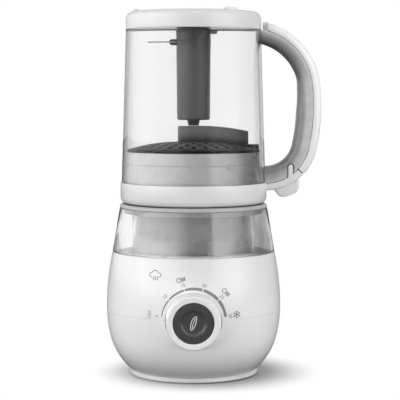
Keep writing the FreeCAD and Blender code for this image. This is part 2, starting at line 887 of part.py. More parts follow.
def make_motor_frame():
    plate = tube("mount_plate", size("mount_radius"), size("bearing_radius"), size("mount_thickness"),
                 (0, 0, size("motor_top")))
    posts = [
        cylinder(f"mount_post_{degrees}", size("mount_post_radius"), roof_bottom - size("motor_top"),
                 around(size("mount_post_circle"), degrees, size("motor_top")))
        for degrees in MOUNT_POST_ANGLES
    ]
    node(fused("mount", [plate] + posts), "motor_mount")
    inside = size("motor_radius") - size("motor_wall")
    lid = size("motor_top") - size("motor_wall")
    can = turned("can", [
        (size("motor_radius"), size("motor_bottom")),
        (size("motor_radius"), size("motor_top")),
        (size("bearing_radius"), size("motor_top")),
        (size("bearing_radius"), lid),
        (inside, lid),
        (inside, size("motor_bottom")),
    ])
    node(can, "motor_can")
    disc = tube("cap_disc", size("motor_radius"), size("bearing_radius"), size("motor_cap_height"),
                (0, 0, cap_bottom))
    brush_start = size("commutator_radius") + size("running_gap")
    brush_end = brush_start + size("brush_length")
    seat_top = size("motor_bottom") + size("brush_seat")
    seats = [
        spoke(f"brush_seat_{degrees}", brush_start, brush_end, size("brush_side"), cap_bottom, seat_top,
              degrees)
        for degrees in (0, 180)
    ]
    node(fused("end_cap", [disc] + seats), "motor_end_cap")
    brushes = [
        spoke(f"brush_{degrees}", brush_start, brush_end, size("brush_side"), seat_top,
              seat_top + size("brush_side"), degrees)
        for degrees in (0, 180)
    ]
    node(grouped("brushes", brushes), "carbon_brushes")
    top_bearing = tube("top_bearing", size("bearing_radius"), shaft_hole, size("bearing_height"),
                       (0, 0, mount_top - size("bearing_height")))
    low_bearing = tube("low_bearing", size("bearing_radius"), shaft_hole, size("bearing_height"),
                       (0, 0, size("motor_bottom") - size("bearing_height") / 2 - size("motor_cap_height") / 2))
    node(grouped("bearings", [top_bearing, low_bearing]), "motor_bearings")
    magnet_height = size("magnet_top") - size("magnet_bottom")
    ring = tube("magnet_ring", inside, inside - size("magnet_thickness"), magnet_height,
                (0, 0, size("magnet_bottom")))
    half = size("magnet_gap") / 2
    gap = block("magnet_gap_cut", (0 - inside, 0 - half, size("magnet_bottom")),
                (inside, half, size("magnet_top")))
    node(cut("magnets", ring, [gap]), "motor_magnets")


def make_rotor():
    radius = size("shaft_radius")
    shaft = cylinder("shaft", radius, shaft_top - size("shaft_bottom"), (0, 0, size("shaft_bottom")))
    node(shaft, "motor_shaft")
    core = tube("armature_core", size("armature_radius"), radius,
                size("armature_top") - size("armature_bottom"), (0, 0, size("armature_bottom")))
    slots = [
        spoke(f"armature_slot_{number}", size("armature_radius") - size("armature_slot_depth"),
              size("armature_radius") + 1, size("armature_slot_width"), size("armature_bottom"),
              size("armature_top"), number * 360 / ARMATURE_SLOTS)
        for number in range(ARMATURE_SLOTS)
    ]
    node(cut("armature", core, slots), "armature")
    commutator = tube("commutator", size("commutator_radius"), radius,
                      size("armature_bottom") - size("commutator_bottom"), (0, 0, size("commutator_bottom")))
    node(commutator, "commutator")
    fan_top = size("fan_bottom") + size("fan_height")
    disc_top = size("fan_bottom") + size("fan_disc")
    disc = cylinder("fan_disc", size("fan_radius"), size("fan_disc"), (0, 0, size("fan_bottom")))
    hub = cylinder("fan_hub", size("fan_hub_radius"), size("fan_height"), (0, 0, size("fan_bottom")))
    blades = [
        spoke(f"fan_blade_{number}", size("fan_hub_radius") - 1, size("fan_radius"),
              size("fan_blade_thickness"), disc_top, fan_top, number * 360 / FAN_BLADES)
        for number in range(FAN_BLADES)
    ]
    bore = cylinder("fan_bore", radius, size("fan_height"), (0, 0, size("fan_bottom")))
    node(cut("fan", fused("fan_solid", [disc, hub] + blades), [bore]), "cooling_fan")
    node(coupling("drive", drive_bottom, drive_top, size("drive_radius"), radius), "drive_coupling")


def coupling(name, bottom, top, outer, bore):
    """A toothed drive half with slots across its upper end."""
    ring = tube(name + "_ring", outer, bore, top - bottom, (0, 0, bottom))
    width = size("drive_slot_width")
    slots = [
        spoke(f"{name}_slot_{number}", bore + width / 2, outer + 1, width, top - size("drive_slot_depth"), top,
              number * 360 / DRIVE_SLOTS)
        for number in range(DRIVE_SLOTS)
    ]
    return cut(name + "_coupling", ring, slots)


# Boiler and its pipes


def make_boiler():
    bottom = size("boiler_bottom")
    floor_top = bottom + size("boiler_flange")
    inside = boiler_radius - size("boiler_wall")
    pot = turned("boiler_pot", [
        (0, bottom),
        (boiler_flange_radius, bottom),
        (boiler_flange_radius, floor_top),
        (boiler_radius, floor_top),
        (boiler_radius, size("boiler_top")),
        (inside, size("boiler_top")),
        (inside, floor_top),
        (0, floor_top),
    ])
    node(place(pot, (0, boiler_y, 0)), "boiler_body")
    lid = cylinder("boiler_lid", boiler_radius, size("boiler_cover"), (0, boiler_y, size("boiler_top")))
    ports = [
        cylinder(name, size("hose_bore"), size("boiler_cover"), (0, distance, size("boiler_top")))
        for name, distance in (("water_port", hose_y), ("steam_port", pipe_y))
    ]
    node(cut("boiler_lid_cut", lid, ports), "boiler_cover")
    element = doc.addObject("Part::Torus", "element")
    bind(element, "Radius1", element_ring_radius)
    bind(element, "Radius2", size("element_radius"))
    node(place(element, (0, boiler_y, bottom - size("element_radius"))), "heating_element")
    thermostat = cylinder("thermostat_can", size("thermostat_radius"), size("thermostat_height"),
                          (0, boiler_y, bottom - size("thermostat_height")))
    node(thermostat, "thermostat")


def make_feed_hose():
    start = size("boiler_top") + size("boiler_cover")
    hose = tube("hose", size("hose_radius"), size("hose_bore"), roof_top - start, (0, hose_y, start))
    node(hose, "feed_hose")


def make_steam_pipe():
    """A bent tube up from the boiler, across inside the core, and up into the nozzle."""
    start = size("boiler_top") + size("boiler_cover")
    reach = root(port_distance * port_distance + pipe_y * pipe_y)
    bend = size("pipe_bend")
    level = size("pipe_crossing")
    body = doc.addObject("PartDesign::Body", "pipe")
    planes = {item.Role: item for item in body.Origin.OriginFeatures}
    path = body.newObject("Sketcher::SketchObject", "pipe_path")
    path.AttachmentSupport = [(planes["XZ_Plane"], "")]
    path.MapMode = "FlatFace"
    add_outline(path, [
        (0, start),
        (0, level - bend),
        Bow(bend, -1),
        (bend, level),
        (reach - bend, level),
        Bow(bend, 1),
        (reach, level + bend),
        (reach, deck_bottom),
    ], closed=False)
    ring = body.newObject("Sketcher::SketchObject", "pipe_ring")
    ring.AttachmentSupport = [(planes["XY_Plane"], "")]
    ring.MapMode = "FlatFace"
    ring.setExpression("AttachmentOffset.Base.z", start.text)
    for radius in (size("hose_radius"), size("hose_bore")):
        circle = ring.addGeometry(Part.Circle(FreeCAD.Vector(), FreeCAD.Vector(0, 0, 1), radius.value), False)
        ring.addConstraint(Sketcher.Constraint("Coincident", circle, 3, -1, 1))
        rule = ring.addConstraint(Sketcher.Constraint("Radius", circle, radius.value))
        ring.setExpression(f"Constraints[{rule}]", radius.text)
    doc.recompute()
    sweep = body.newObject("PartDesign::AdditivePipe", "pipe_sweep")
    sweep.Profile = ring
    sweep.Spine = (path, [f"Edge{number}" for number in range(1, 6)])
    doc.recompute()
    heading = math.degrees(math.atan2(-pipe_y.value, port_distance.value))
    turn = FreeCAD.Rotation(FreeCAD.Vector(0, 0, 1), heading)
    node(place(body, (0, pipe_y, 0), turn), "steam_pipe")


# Dial, button and control board


def make_dial():
    front = 0 - dial_front
    rear = 0 - dial_rear
    recess = size("button_radius") + size("button_gap")
    bore = size("sleeve_radius") + size("shaft_clearance")
    wall = size("dial_wall")
    floor = 0 - dial_recess_floor
    dial = turned_about_dial("dial_ring", [
        (recess, front),
        (size("dial_front_radius"), front),
        (size("dial_rear_radius"), rear),
        (size("dial_rear_radius") - wall, rear),
        (size("dial_front_radius") - wall, front + wall),
        (recess + wall / 2, front + wall),
        (recess + wall / 2, rear),
        (bore, rear),
        (bore, floor),
        (recess, floor),
    ])

    def front_edge(edge):
        if not isinstance(edge.Curve, Part.Circle):
            return False
        at_face = near(edge.Curve.Center.y, front.value)
        return at_face and near(edge.Curve.Radius, size("dial_front_radius").value)

    node(rounded(dial, size("dial_edge_round"), front_edge), "dial")


def make_dial_guide():
    front = 0 - guide_front
    rear = front + size("guide_thickness")
    hole = size("button_pin_radius") + size("running_gap")
    guide = turned_about_dial("guide_disc", [
        (size("sleeve_bore"), 0 - sleeve_front),
        (size("sleeve_radius"), 0 - sleeve_front),
        (size("sleeve_radius"), front),
        (size("guide_radius"), front),
        (size("guide_radius"), rear),
        (hole, rear),
        (hole, front),
        (size("sleeve_bore"), front),
    ])
    side = size("standoff_side")
    length = guide_front - board_front
    standoffs = []
    for right in (-1, 1):
        for up in (-1, 1):
            at = (right * side, front, size("dial_height") + up * side)
            name = f"standoff_{right + 1}_{up + 1}"
            standoffs.append(cylinder(name, size("standoff_radius"), length, at, "y"))
    node(fused("guide", [guide] + standoffs), "dial_guide")


def make_button():
    front = 0 - button_front
    back = front + size("button_thickness")
    dish = size("button_dish_radius")
    bend = size("button_dish_bend")
    dip = bend - root(bend * bend - dish * dish)
    face = turned_about_dial("button_face", [
        (0, front + dip),
        Bow(bend, -1),
        (dish, front),
        (size("button_radius"), front),
        (size("button_radius"), back),
        (0, back),
    ])
    node(face, "blend_button")
    cup = size("sleeve_bore") - size("seal_slack")
    floor = back + size("button_wall")
    plunger = turned_about_dial("plunger", [
        (0, back),
        (cup, back),
        (cup, 0 - button_cup_rear),
        (cup - size("button_wall"), 0 - button_cup_rear),
        (cup - size("button_wall"), floor),
        (size("button_pin_radius"), floor),
        (size("button_pin_radius"), 0 - button_pin_rear),
        (0, 0 - button_pin_rear),
    ])
    node(plunger, "button_plunger")


def make_board():
    front = 0 - board_front
    back = front + size("board_thickness")
    half = size("board_width") / 2
    board = block("board", (0 - half, front, size("board_bottom")), (half, back, board_top))
    node(board, "control_board")
    reach = size("switch_side") / 2
    level = size("dial_height")
    switch = block("switch", (0 - reach, front - size("switch_depth"), level - reach),
                   (reach, front, level + reach))
    node(switch, "blend_switch")
    relay_half = size("relay_width") / 2
    relay = block("relay", (0 - relay_half, back, size("board_bottom")),
                  (relay_half, back + size("relay_depth"), size("board_bottom") + size("relay_height")))
    radius = size("capacitor_radius")
    capacitors = [
        cylinder(name, radius, size("capacitor_length"), (side * radius * 2, back, board_top - radius),
                 "y")
        for name, side in (("capacitor_left", -1), ("capacitor_right", 1))
    ]
    node(grouped("components", [relay] + capacitors), "board_components")


# Heights and radii that follow from one another, from the deck up

shaft_top = deck_top + size("shaft_stand")
drive_bottom = deck_top + size("drive_gap")
drive_top = drive_bottom + size("drive_height")
lid_bottom = deck_top + size("lid_seat_gap")
lid_pocket_floor = lid_bottom + size("lid_base_height")
lid_top = lid_pocket_floor + size("lid_pocket_depth")
jar_rim_bottom = lid_pocket_floor + size("jar_rim_gap")
jar_mouth_height = lid_top + size("lid_gap")
jar_top_height = jar_mouth_height + size("jar_wall_height")
jar_floor_bottom = jar_top_height + size("jar_shoulder")
jar_floor_top = jar_floor_bottom + size("jar_floor")
cap_top = jar_floor_top + size("cap_rise")
collar_underside = lid_bottom + size("collar_rise")
collar_top = lid_pocket_floor + size("collar_height")
dome_height = collar_underside + size("dome_rise")
inlet_bottom = deck_top + size("inlet_gap")
inlet_top = collar_top - size("inlet_drop")
strainer_crown = collar_top + size("strainer_rise")
hood_top = strainer_crown + size("hood_rise")
hood_end_top = hood_top - size("hood_slope")
step_top = collar_top + size("step_rise")
hub_tip_bottom = hood_top + size("hub_tip_gap")
hub_shoulder = hub_tip_bottom + size("hub_tip_length")
hub_top = jar_floor_bottom - size("hub_gap")
lower_carrier_bottom = hub_top - size("lower_carrier_drop")
upper_carrier_bottom = hub_top - size("upper_carrier_drop")
spindle_bottom = hub_top - size("spindle_depth")
spindle_top = jar_floor_top + size("spindle_stand")
driven_bottom = jar_floor_top + size("driven_gap")
driven_top = driven_bottom + size("driven_height")
jar_bore = jar_mouth_radius - size("jar_wall")
jar_rim_radius = jar_mouth_radius - size("jar_rim_step")
jar_top_radius = jar_mouth_radius - size("jar_taper")
jar_neck_radius = jar_top_radius - size("jar_neck_step")
cap_radius = jar_top_radius + size("cap_overhang")
lug_radius = cap_radius - size("lug_inset")
lid_pocket_radius = jar_rim_radius + size("lid_pocket_slack")
lid_radius = lid_pocket_radius + size("lid_wall")
collar_low_radius = jar_bore - size("collar_slack")
lid_inner_radius = collar_low_radius - size("lid_seat")
collar_top_radius = collar_low_radius - size("collar_taper")
hood_end = collar_top_radius - size("hood_inset")
step_end = collar_top_radius - size("step_inset")

# Jar and cap


def jar_radius(height):
    """Outer radius of the jar's tapered wall at a height."""
    drop = as_size(height) - jar_mouth_height
    taper = jar_mouth_radius - jar_top_radius
    return jar_mouth_radius - taper * drop / (jar_top_height - jar_mouth_height)


def make_jar():
    corner = size("jar_corner")
    bend_start = jar_floor_bottom - corner
    bend_radius = jar_radius(bend_start) - size("jar_wall")
    jar = turned("jar_body", [
        (jar_bore, jar_rim_bottom),
        (jar_rim_radius, jar_rim_bottom),
        (jar_rim_radius, jar_mouth_height),
        (jar_mouth_radius, jar_mouth_height),
        (jar_top_radius, jar_top_height),
        (jar_neck_radius, jar_top_height),
        (jar_neck_radius, jar_floor_top),
        (size("bush_radius"), jar_floor_top),
        (size("bush_radius"), jar_floor_bottom),
        (bend_radius - corner, jar_floor_bottom),
        Bow(corner, -1),
        (bend_radius, bend_start),
        (jar_bore, jar_mouth_height),
    ])
    node(jar, "jar")
    seal_top = jar_floor_bottom + size("spindle_seal_height")
    seal = tube("spindle_seal_ring", size("bush_radius"), shaft_hole, size("spindle_seal_height"),
                (0, 0, jar_floor_bottom))
    node(seal, "spindle_seal")
    bush = tube("bush", size("bush_radius"), shaft_hole,
                jar_floor_top + size("bush_stand") - seal_top, (0, 0, seal_top))
    node(bush, "spindle_bush")


def make_cap():
    inside = jar_neck_radius + size("cap_clearance")
    bottom = jar_top_height + size("cap_seam")
    under = cap_top - size("cap_thickness")
    wall = size("socket_radius") + size("socket_wall")
    cap = turned("cap_body", [
        (inside, bottom),
        (cap_radius, bottom),
        (cap_radius, cap_top),
        (size("socket_radius"), cap_top),
        (size("socket_radius"), jar_floor_top),
        (wall, jar_floor_top),
        (wall, under),
        (inside, under),
    ])
    rounded(cap, size("cap_edge_round"), ring_edge(cap_radius, cap_top))
    lug_half = size("lug_depth") / 2
    lugs = [
        spoke(f"lug_{number}", lug_radius - lug_half, lug_radius + lug_half, size("lug_width"),
              under + size("cap_thickness") / 2, cap_top + size("lug_height"),
              size("lug_turn") + number * 360 / CAP_LUGS)
        for number in range(CAP_LUGS)
    ]
    node(fused("cap", [cap] + lugs), "jar_cap")


# Handle

side_bend = size("handle_side_bend")
handle_middle = (jar_mouth_height + jar_top_height) / 2 - size("handle_middle_drop")
side_centre = (size("handle_reach") - side_bend, handle_middle)
low_turn = 0 - size("handle_low_turn")


def end_bend(height, turn):
    """Bend that runs on smoothly from the side bend and turns level at a height from its middle."""
    return (height - side_bend * sine(turn)) / (1 - sine(turn))


def bend_centre(bend, turn):
    """Centre of an end bend that runs on smoothly from the side bend."""
    apart = side_bend - bend
    return (side_centre[0] + apart * cosine(turn), side_centre[1] + apart * sine(turn))


handle_top_bend = end_bend(jar_top_height - handle_middle, size("handle_top_turn"))
handle_low_bend = end_bend(handle_middle - jar_mouth_height + size("handle_low_drop"), size("handle_low_turn"))
top_centre = bend_centre(handle_top_bend, size("handle_top_turn"))
low_centre = bend_centre(handle_low_bend, low_turn)


def side_point(offset, turn):
    """Where the side bend, moved out by an offset, meets an end bend."""
    reach = side_bend + offset
    return (side_centre[0] + reach * cosine(turn), side_centre[1] + reach * sine(turn))


def top_point(offset, x):
    """Point of the top bend, moved out by an offset, at a distance from the axis."""
    reach = handle_top_bend + offset
    along = as_size(x) - top_centre[0]
    return (as_size(x), top_centre[1] + root(reach * reach - along * along))


def low_point(offset, x):
    """Point of the low bend, moved out by an offset, at a distance from the axis."""
    reach = handle_low_bend + offset
    along = as_size(x) - low_centre[0]
    return (as_size(x), low_centre[1] - root(reach * reach - along * along))


def low_turned_point(offset, degrees):
    """Point of the low bend, moved out by an offset, at an angle below the level."""
    reach = handle_low_bend + offset
    return (low_centre[0] + reach * cosine(degrees), low_centre[1] - reach * sine(degrees))


rod_end = low_turned_point(0 - size("rod_low_inset"), size("rod_end_turn"))
pin_left = rod_end[0] - size("pin_back")
pin_top = rod_end[1] + size("pin_rise")


def handle_outline(inner, outer, top_x, low_inner, low_outer, low_shift=0, top_trim=0):
    """Outline of a strip of the handle between two offsets from the joint of grip and cover."""
    top_turn = size("handle_top_turn")
    inner = as_size(inner)
    outer = as_size(outer)
    inner_top = inner + top_trim
    inner_low = inner - low_shift
    outer_low = outer - low_shift
    return [
        top_point(inner_top, top_x),
        Bow(handle_top_bend + inner_top, -1),
        side_point(inner_top, top_turn),
        Bow(side_bend + inner, -1),
        side_point(inner_low, low_turn),
        Bow(handle_low_bend + inner_low, -1),
        low_inner,
        low_outer,
        Bow(handle_low_bend + outer_low, 1),
        side_point(outer_low, low_turn),
        Bow(side_bend + outer, 1),
        side_point(outer, top_turn),
        Bow(handle_top_bend + outer, 1),
        top_point(outer, top_x),
    ]


def strip_edges(offset, depth, top_trim=0):
    """A test for the long edges of a handle strip at one offset from the joint."""
    bends = [(bend + offset).value for bend in (handle_top_bend + top_trim, side_bend, handle_low_bend)]
    half = (depth / 2).value

    def wanted(edge):
        if not isinstance(edge.Curve, Part.Circle):
            return False
        middle = edge.valueAt((edge.FirstParameter + edge.LastParameter) / 2)
        return near(abs(middle.y), half) and any(near(edge.Curve.Radius, bend) for bend in bends)

    return wanted


def lid_turning_space():
    """The ring of space that the lid's arm sweeps as it turns, with its clearance."""
    end = size("arm_end_turn") - size("arm_end_gap")
    start = jar_rim_radius
    depth = size("cover_thickness") * 2
    ring = turned("arm_space", [
        low_point(0, start),
        Bow(handle_low_bend, 1),
        low_turned_point(0, end),
        low_turned_point(depth, end),
        Bow(handle_low_bend + depth, -1),
        low_point(depth, start),
    ])
    gap = size("arm_gap")
    disc = cylinder("lid_space", lid_radius + gap, lid_top + gap)
    return fused("lid_turning_space", [ring, disc])


def make_handle():
    depth = size("grip_depth")
    inner = 0 - size("grip_thickness")
    start = jar_neck_radius
    turning_space = lid_turning_space()
    trim = size("grip_top_trim")
    grip_outline = handle_outline(inner, 0, start, low_point(inner, start), low_point(0, start), 0, trim)
    grip = padded("grip_body", grip_outline, depth)
    rounded(grip, size("grip_round"), strip_edges(inner, depth, trim))
    wall = size("grip_wall")
    hollow_start = jar_mouth_radius - size("grip_wall")
    cavity_inner = inner + wall
    cavity_end = hollow_start + wall * 2
    cavity_outline = handle_outline(cavity_inner, wall, hollow_start, low_point(cavity_inner, cavity_end),
                                    low_point(wall, cavity_end), 0, trim)
    cavity = padded("grip_cavity", cavity_outline, depth - wall * 2)
    jar_space = turned("jar_space", [
        (0, jar_rim_bottom),
        (jar_radius(jar_rim_bottom), jar_rim_bottom),
        (jar_radius(cap_top), cap_top),
        (0, cap_top),
    ])
    pin_right = pin_left + size("pin_width")
    gap = size("pin_gap")
    slot_ring = tube("slot_ring", pin_right + gap, pin_left - gap,
                     pin_top + gap - lid_bottom, (0, 0, lid_bottom))
    slot_reach = block("slot_reach", (0, 0 - depth, lid_bottom),
                       (pin_right * 2, size("pin_depth") / 2 + gap, pin_top * 2))
    slot = common("pin_slot", slot_ring, slot_reach)
    node(cut("grip", grip, [cavity, jar_space, turning_space, slot]), "handle_grip")
    outer = size("cover_thickness")
    far = lid_radius + size("cover_thickness") * 2
    cover_start = jar_mouth_radius + size("cover_gap")
    cover_outline = handle_outline(0, outer, cover_start, low_point(0, far), low_point(outer, far))
    cover = padded("cover_body", cover_outline, depth)
    rounded(cover, size("cover_round"), strip_edges(outer, depth))
    node(cut("cover", cover, [turning_space]), "handle_cover")


def make_rod():
    """A curved push rod inside the grip: its lower end on the lid's pin, its tip beside the cap."""
    top_outer = 0 - size("rod_top_inset")
    top_inner = top_outer - size("rod_thickness")
    shift = size("rod_low_inset") - size("rod_top_inset")
    end = size("rod_end_turn")
    rod_tip_top = jar_top_height + size("rod_tip_rise")
    left = cap_radius + size("rod_tip_gap")
    rod_tip_foot = top_point(top_inner, left)[1] + size("rod_tip_seat")
    outline = handle_outline(top_inner, top_outer, left, low_turned_point(top_inner - shift, end),
                             low_turned_point(top_outer - shift, end), shift)
    strip = padded("rod_strip", outline, size("rod_width"))
    half = size("rod_width") / 2
    tip = block("rod_tip", (left, 0 - half, rod_tip_foot),
                (left + size("rod_tip_width"), half, rod_tip_top))
    node(fused("rod", [strip, tip]), "interlock_rod")


# Lid, collar and strainer


def make_lid():
    ring = turned("lid_ring", [
        (lid_inner_radius, lid_bottom),
        (lid_radius, lid_bottom),
        (lid_radius, lid_top),
        (lid_pocket_radius, lid_top),
        (lid_pocket_radius, lid_pocket_floor),
        (lid_inner_radius, lid_pocket_floor),
    ])
    rounded(ring, size("lid_edge_round"), ring_edge(lid_radius, lid_bottom))
    near_edge = size("arm_gap")
    far_edge = near_edge + size("arm_thickness")
    start = (lid_radius + lid_pocket_radius) / 2
    end = size("arm_end_turn")
    arm_ring = turned("arm_ring", [
        low_point(near_edge, start),
        Bow(handle_low_bend + near_edge, 1),
        low_turned_point(near_edge, end),
        low_turned_point(far_edge, end),
        Bow(handle_low_bend + far_edge, -1),
        low_point(far_edge, start),
    ])
    half = size("arm_depth") / 2
    reach = block("arm_reach", (0, 0 - half, lid_bottom),
                  (size("handle_reach"), half, handle_middle))
    arm = common("arm", arm_ring, reach)
    root_offset = far_edge - size("tab_root")
    names = ("tab_left", "tab_heel", "tab_toe", "tab_corner", "tab_right")
    left, heel, toe, corner, right = [low_centre[0] + size(name) for name in names]
    level = low_point(far_edge, left)[1]
    side_height = level + size("tab_side_rise")
    tab = padded("tab", [
        (left, side_height),
        (heel, level - size("tab_depth")),
        (toe, level - size("tab_depth")),
        (corner, level - size("tab_corner_depth")),
        (right, side_height),
        low_point(root_offset, right),
        Bow(handle_low_bend + root_offset, -1),
        low_point(root_offset, left),
    ], size("tab_thickness"))

    def tab_corners(edge):
        first, last = (vertex.Point for vertex in edge.Vertexes)
        across = near(first.z, last.z) and near(first.x, last.x)
        return across and first.x > heel.value - 1 and first.z < side_height.value + 1

    rounded(tab, size("tab_round"), tab_corners)
    pin_round = size("pin_width") / 2
    pin_half = size("pin_depth") / 2
    pin_right = pin_left + size("pin_width")
    pin_foot = low_point(far_edge / 2, pin_left)[1]
    pin_post = block("pin_post", (pin_left, 0 - pin_half, pin_foot),
                     (pin_right, pin_half, pin_top - pin_round))
    pin_end = cylinder("pin_end", pin_round, size("pin_depth"),
                       (pin_left + pin_round, 0 - pin_half, pin_top - pin_round), "y")
    node(fused("lid", [ring, arm, tab, pin_post, pin_end]), "jar_lid")
    seal_outer = lid_pocket_radius - size("seal_slack")
    seal_inner = collar_low_radius + size("seal_slack")
    seal = tube("seal_ring", seal_outer, seal_inner, size("seal_height"), (0, 0, lid_pocket_floor))
    node(seal, "lid_seal")


def make_collar():
    floor_top = collar_underside + size("collar_floor")
    wall = size("collar_wall")
    dome_top = dome_height + wall
    collar = turned("collar_body", [
        (lid_inner_radius, collar_underside),
        (lid_inner_radius, lid_pocket_floor),
        (collar_low_radius, lid_pocket_floor),
        (collar_top_radius, collar_top),
        (collar_top_radius - wall, collar_top),
        (collar_top_radius - wall, floor_top),
        (size("dome_radius") + wall, floor_top),
        (size("dome_radius") + wall, dome_top),
        (0, dome_top),
        (0, dome_height),
        (size("dome_radius"), dome_height),
        (size("dome_radius"), collar_underside),
    ])
    hole = cylinder("inlet_hole", size("inlet_radius"), size("collar_floor"),
                    (port_distance, 0, collar_underside))
    node(cut("collar", collar, [hole]), "lid_collar")
    inlet = tube("inlet", size("inlet_radius"), size("inlet_bore"), inlet_top - inlet_bottom,
                 (port_distance, 0, inlet_bottom))
    node(inlet, "steam_inlet")


def hood_solid(name, inset):
    """The steam hood's rounded box with its sloping top, drawn in by an inset."""
    inset = as_size(inset)
    radius = size("hood_radius") - inset
    end = hood_end - inset
    low = collar_top - size("strainer_skirt")
    plan = raised(name + "_plan", [
        (0, 0 - radius),
        (end, 0 - radius),
        (end, radius),
        (0, radius),
        Bow(radius, 1),
        (0 - radius, 0),
        Bow(radius, 1),
    ], low, hood_top - low)
    side = padded(name + "_side", [
        (0 - size("hood_radius"), low),
        (end, low),
        (end, hood_end_top - inset),
        (0, hood_top - inset),
        (0 - size("hood_radius"), hood_top - inset),
    ], size("hood_radius") * 2)
    return common(name, plan, side)


def sieve_holes():
    """Rows of round holes, left out beside and under the hood."""
    holes = []
    low = collar_top - size("strainer_skirt")
    clear = (size("hood_radius") + size("sieve_margin")).value
    for row in range(SIEVE_ROWS):
        radius = size("sieve_first_row") + row * size("sieve_row_step")
        count = SIEVE_ROW_HOLES * (row + 2)
        for number in range(count):
            degrees = (number + 0.5) * 360 / count
            x, y, _ = around(radius, degrees, 0)
            if x.value > 0 and abs(y.value) < clear:
                continue
            holes.append(cylinder(f"sieve_{row}_{number}", size("sieve_hole_radius"),
                                  hood_top - low, (x, y, low)))
    return grouped("sieve_holes", holes)


def make_strainer():
    wall = size("strainer_wall")
    rim = collar_top_radius
    skirt = rim - size("collar_wall") - size("strainer_slack")
    top = collar_top
    disc = turned("strainer_disc", [
        (0, strainer_crown - wall),
        (size("hood_radius"), strainer_crown - wall),
        (skirt - wall, top),
        (skirt - wall, top - size("strainer_skirt")),
        (skirt, top - size("strainer_skirt")),
        (skirt, top),
        (rim, top),
        (rim, top + wall),
        (size("hood_radius"), strainer_crown),
        (0, strainer_crown),
    ])
    hood = hood_solid("hood", 0)
    hollow = hood_solid("hood_hollow", size("hood_wall"))
    half = size("step_width") / 2
    step = block("hood_step", (hood_end - size("hood_wall"), 0 - half, top),
                 (step_end, half, step_top))
    shell = fused("hood_shell", [hood, step])
    node(cut("strainer", disc, [sieve_holes(), shell]), "strainer")
    node(cut("hood_with_step", shell, [hollow]), "steam_hood")


# Blade unit


def blade(name, bottom, turn):
    """A sickle blade that points along -X before it is turned."""
    half = size("blade_root_width") / 2
    root_x = 0 - size("blade_root_reach")
    plate = raised(name, [
        (root_x, 0 - half),
        (root_x, half),
        Bow(size("blade_back_bend"), -1),
        (0 - size("blade_reach"), size("blade_tip_sweep")),
        Bow(size("blade_edge_bend"), 1),
    ], bottom, size("blade_thickness"))
    return place(plate, (0, 0, 0), FreeCAD.Rotation(FreeCAD.Vector(0, 0, 1), turn))


def make_blade_unit():
    bore = size("shaft_radius")
    sleeve = bore + size("hub_sleeve_wall")
    floor = hub_shoulder + size("hub_floor")
    wall = size("hub_wall")
    tube_body = turned("hub_tube", [
        (bore, hub_top),
        (sleeve, hub_top),
        (sleeve, floor),
        (size("hub_low_radius") - wall, floor),
        (size("hub_top_radius") - wall, hub_top),
        (size("hub_top_radius"), hub_top),
        (size("hub_low_radius"), hub_shoulder),
        (size("hub_tip_radius"), hub_shoulder),
        (size("hub_tip_end_radius"), hub_tip_bottom),
        (0, hub_tip_bottom),
        (0, spindle_bottom),
        (bore, spindle_bottom),
    ])
    rounded(tube_body, size("hub_end_round"), ring_edge(size("hub_low_radius"), hub_shoulder))
    carriers = []
    blades = []
    for name, bottom, seat, turn in (("lower", lower_carrier_bottom, size("lower_blade_seat"), 180),
                                     ("upper", upper_carrier_bottom, size("upper_blade_seat"), 0)):
        carriers.append(spoke(name + "_carrier", size("hub_low_radius") - wall / 2, size("carrier_reach"),
                              size("carrier_width"), bottom, bottom + size("carrier_height"), turn))
        blades.append(blade(name + "_steel", bottom + seat, turn - 180))
    hub = cut("hub", tube_body, blades)
    node(hub, "blade_hub")
    node(cut("carriers", grouped("carrier_bars", carriers), blades + [tube_body]), "blade_carriers")
    node(blades[0], "lower_blade")
    node(blades[1], "upper_blade")
    spindle = cylinder("spindle", bore, spindle_top - spindle_bottom,
                       (0, 0, spindle_bottom))
    node(spindle, "blade_spindle")
    node(coupling("driven", driven_bottom, driven_top, size("driven_radius"), bore), "driven_coupling")


def check_and_export():
    """Refuse a document with a failed object or a bad shape, then write one file per piece."""
    doc.recompute()
    failed = [thing.Name for thing in doc.Objects if {"Invalid", "Error"} & set(thing.State)]
    if failed:
        raise RuntimeError(f"failed objects: {failed}")
    bad = [thing.Label for thing in nodes if thing.Shape.isNull() or not thing.Shape.isValid()]
    if bad:
        raise RuntimeError(f"bad shapes: {bad}")
    os.makedirs("parts", exist_ok=True)
    for thing in nodes:
        thing.Shape.exportStep(os.path.join("parts", thing.Label + ".step"))
        print(thing.Label, len(thing.Shape.Solids), round(thing.Shape.Volume, 1))


make_base_plate()
make_feet_and_screws()
make_lower_housing()
make_upper_housing()
make_tank()
make_deck()
make_steam_nozzle()
make_motor_frame()
make_rotor()
make_boiler()
make_feed_hose()
make_steam_pipe()
make_dial()
make_dial_guide()
make_button()
make_board()
make_jar()
make_cap()
make_handle()
make_rod()
make_lid()
make_collar()
make_strainer()
make_blade_unit()
check_and_export()
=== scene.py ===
import json
import math

import bmesh
import bpy
from mathutils import Matrix, Vector


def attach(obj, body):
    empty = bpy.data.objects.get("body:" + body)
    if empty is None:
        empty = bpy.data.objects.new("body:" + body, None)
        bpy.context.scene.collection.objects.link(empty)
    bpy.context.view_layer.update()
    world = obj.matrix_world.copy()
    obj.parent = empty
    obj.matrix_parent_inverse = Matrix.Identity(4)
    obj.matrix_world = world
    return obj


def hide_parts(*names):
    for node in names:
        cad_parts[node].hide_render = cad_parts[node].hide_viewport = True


# A baby food maker in its steaming position. Sizes are in millimetres, as in the part's source,
# and become metres when a mesh is made. Front is -Y, the handle is at +X, Z is up.

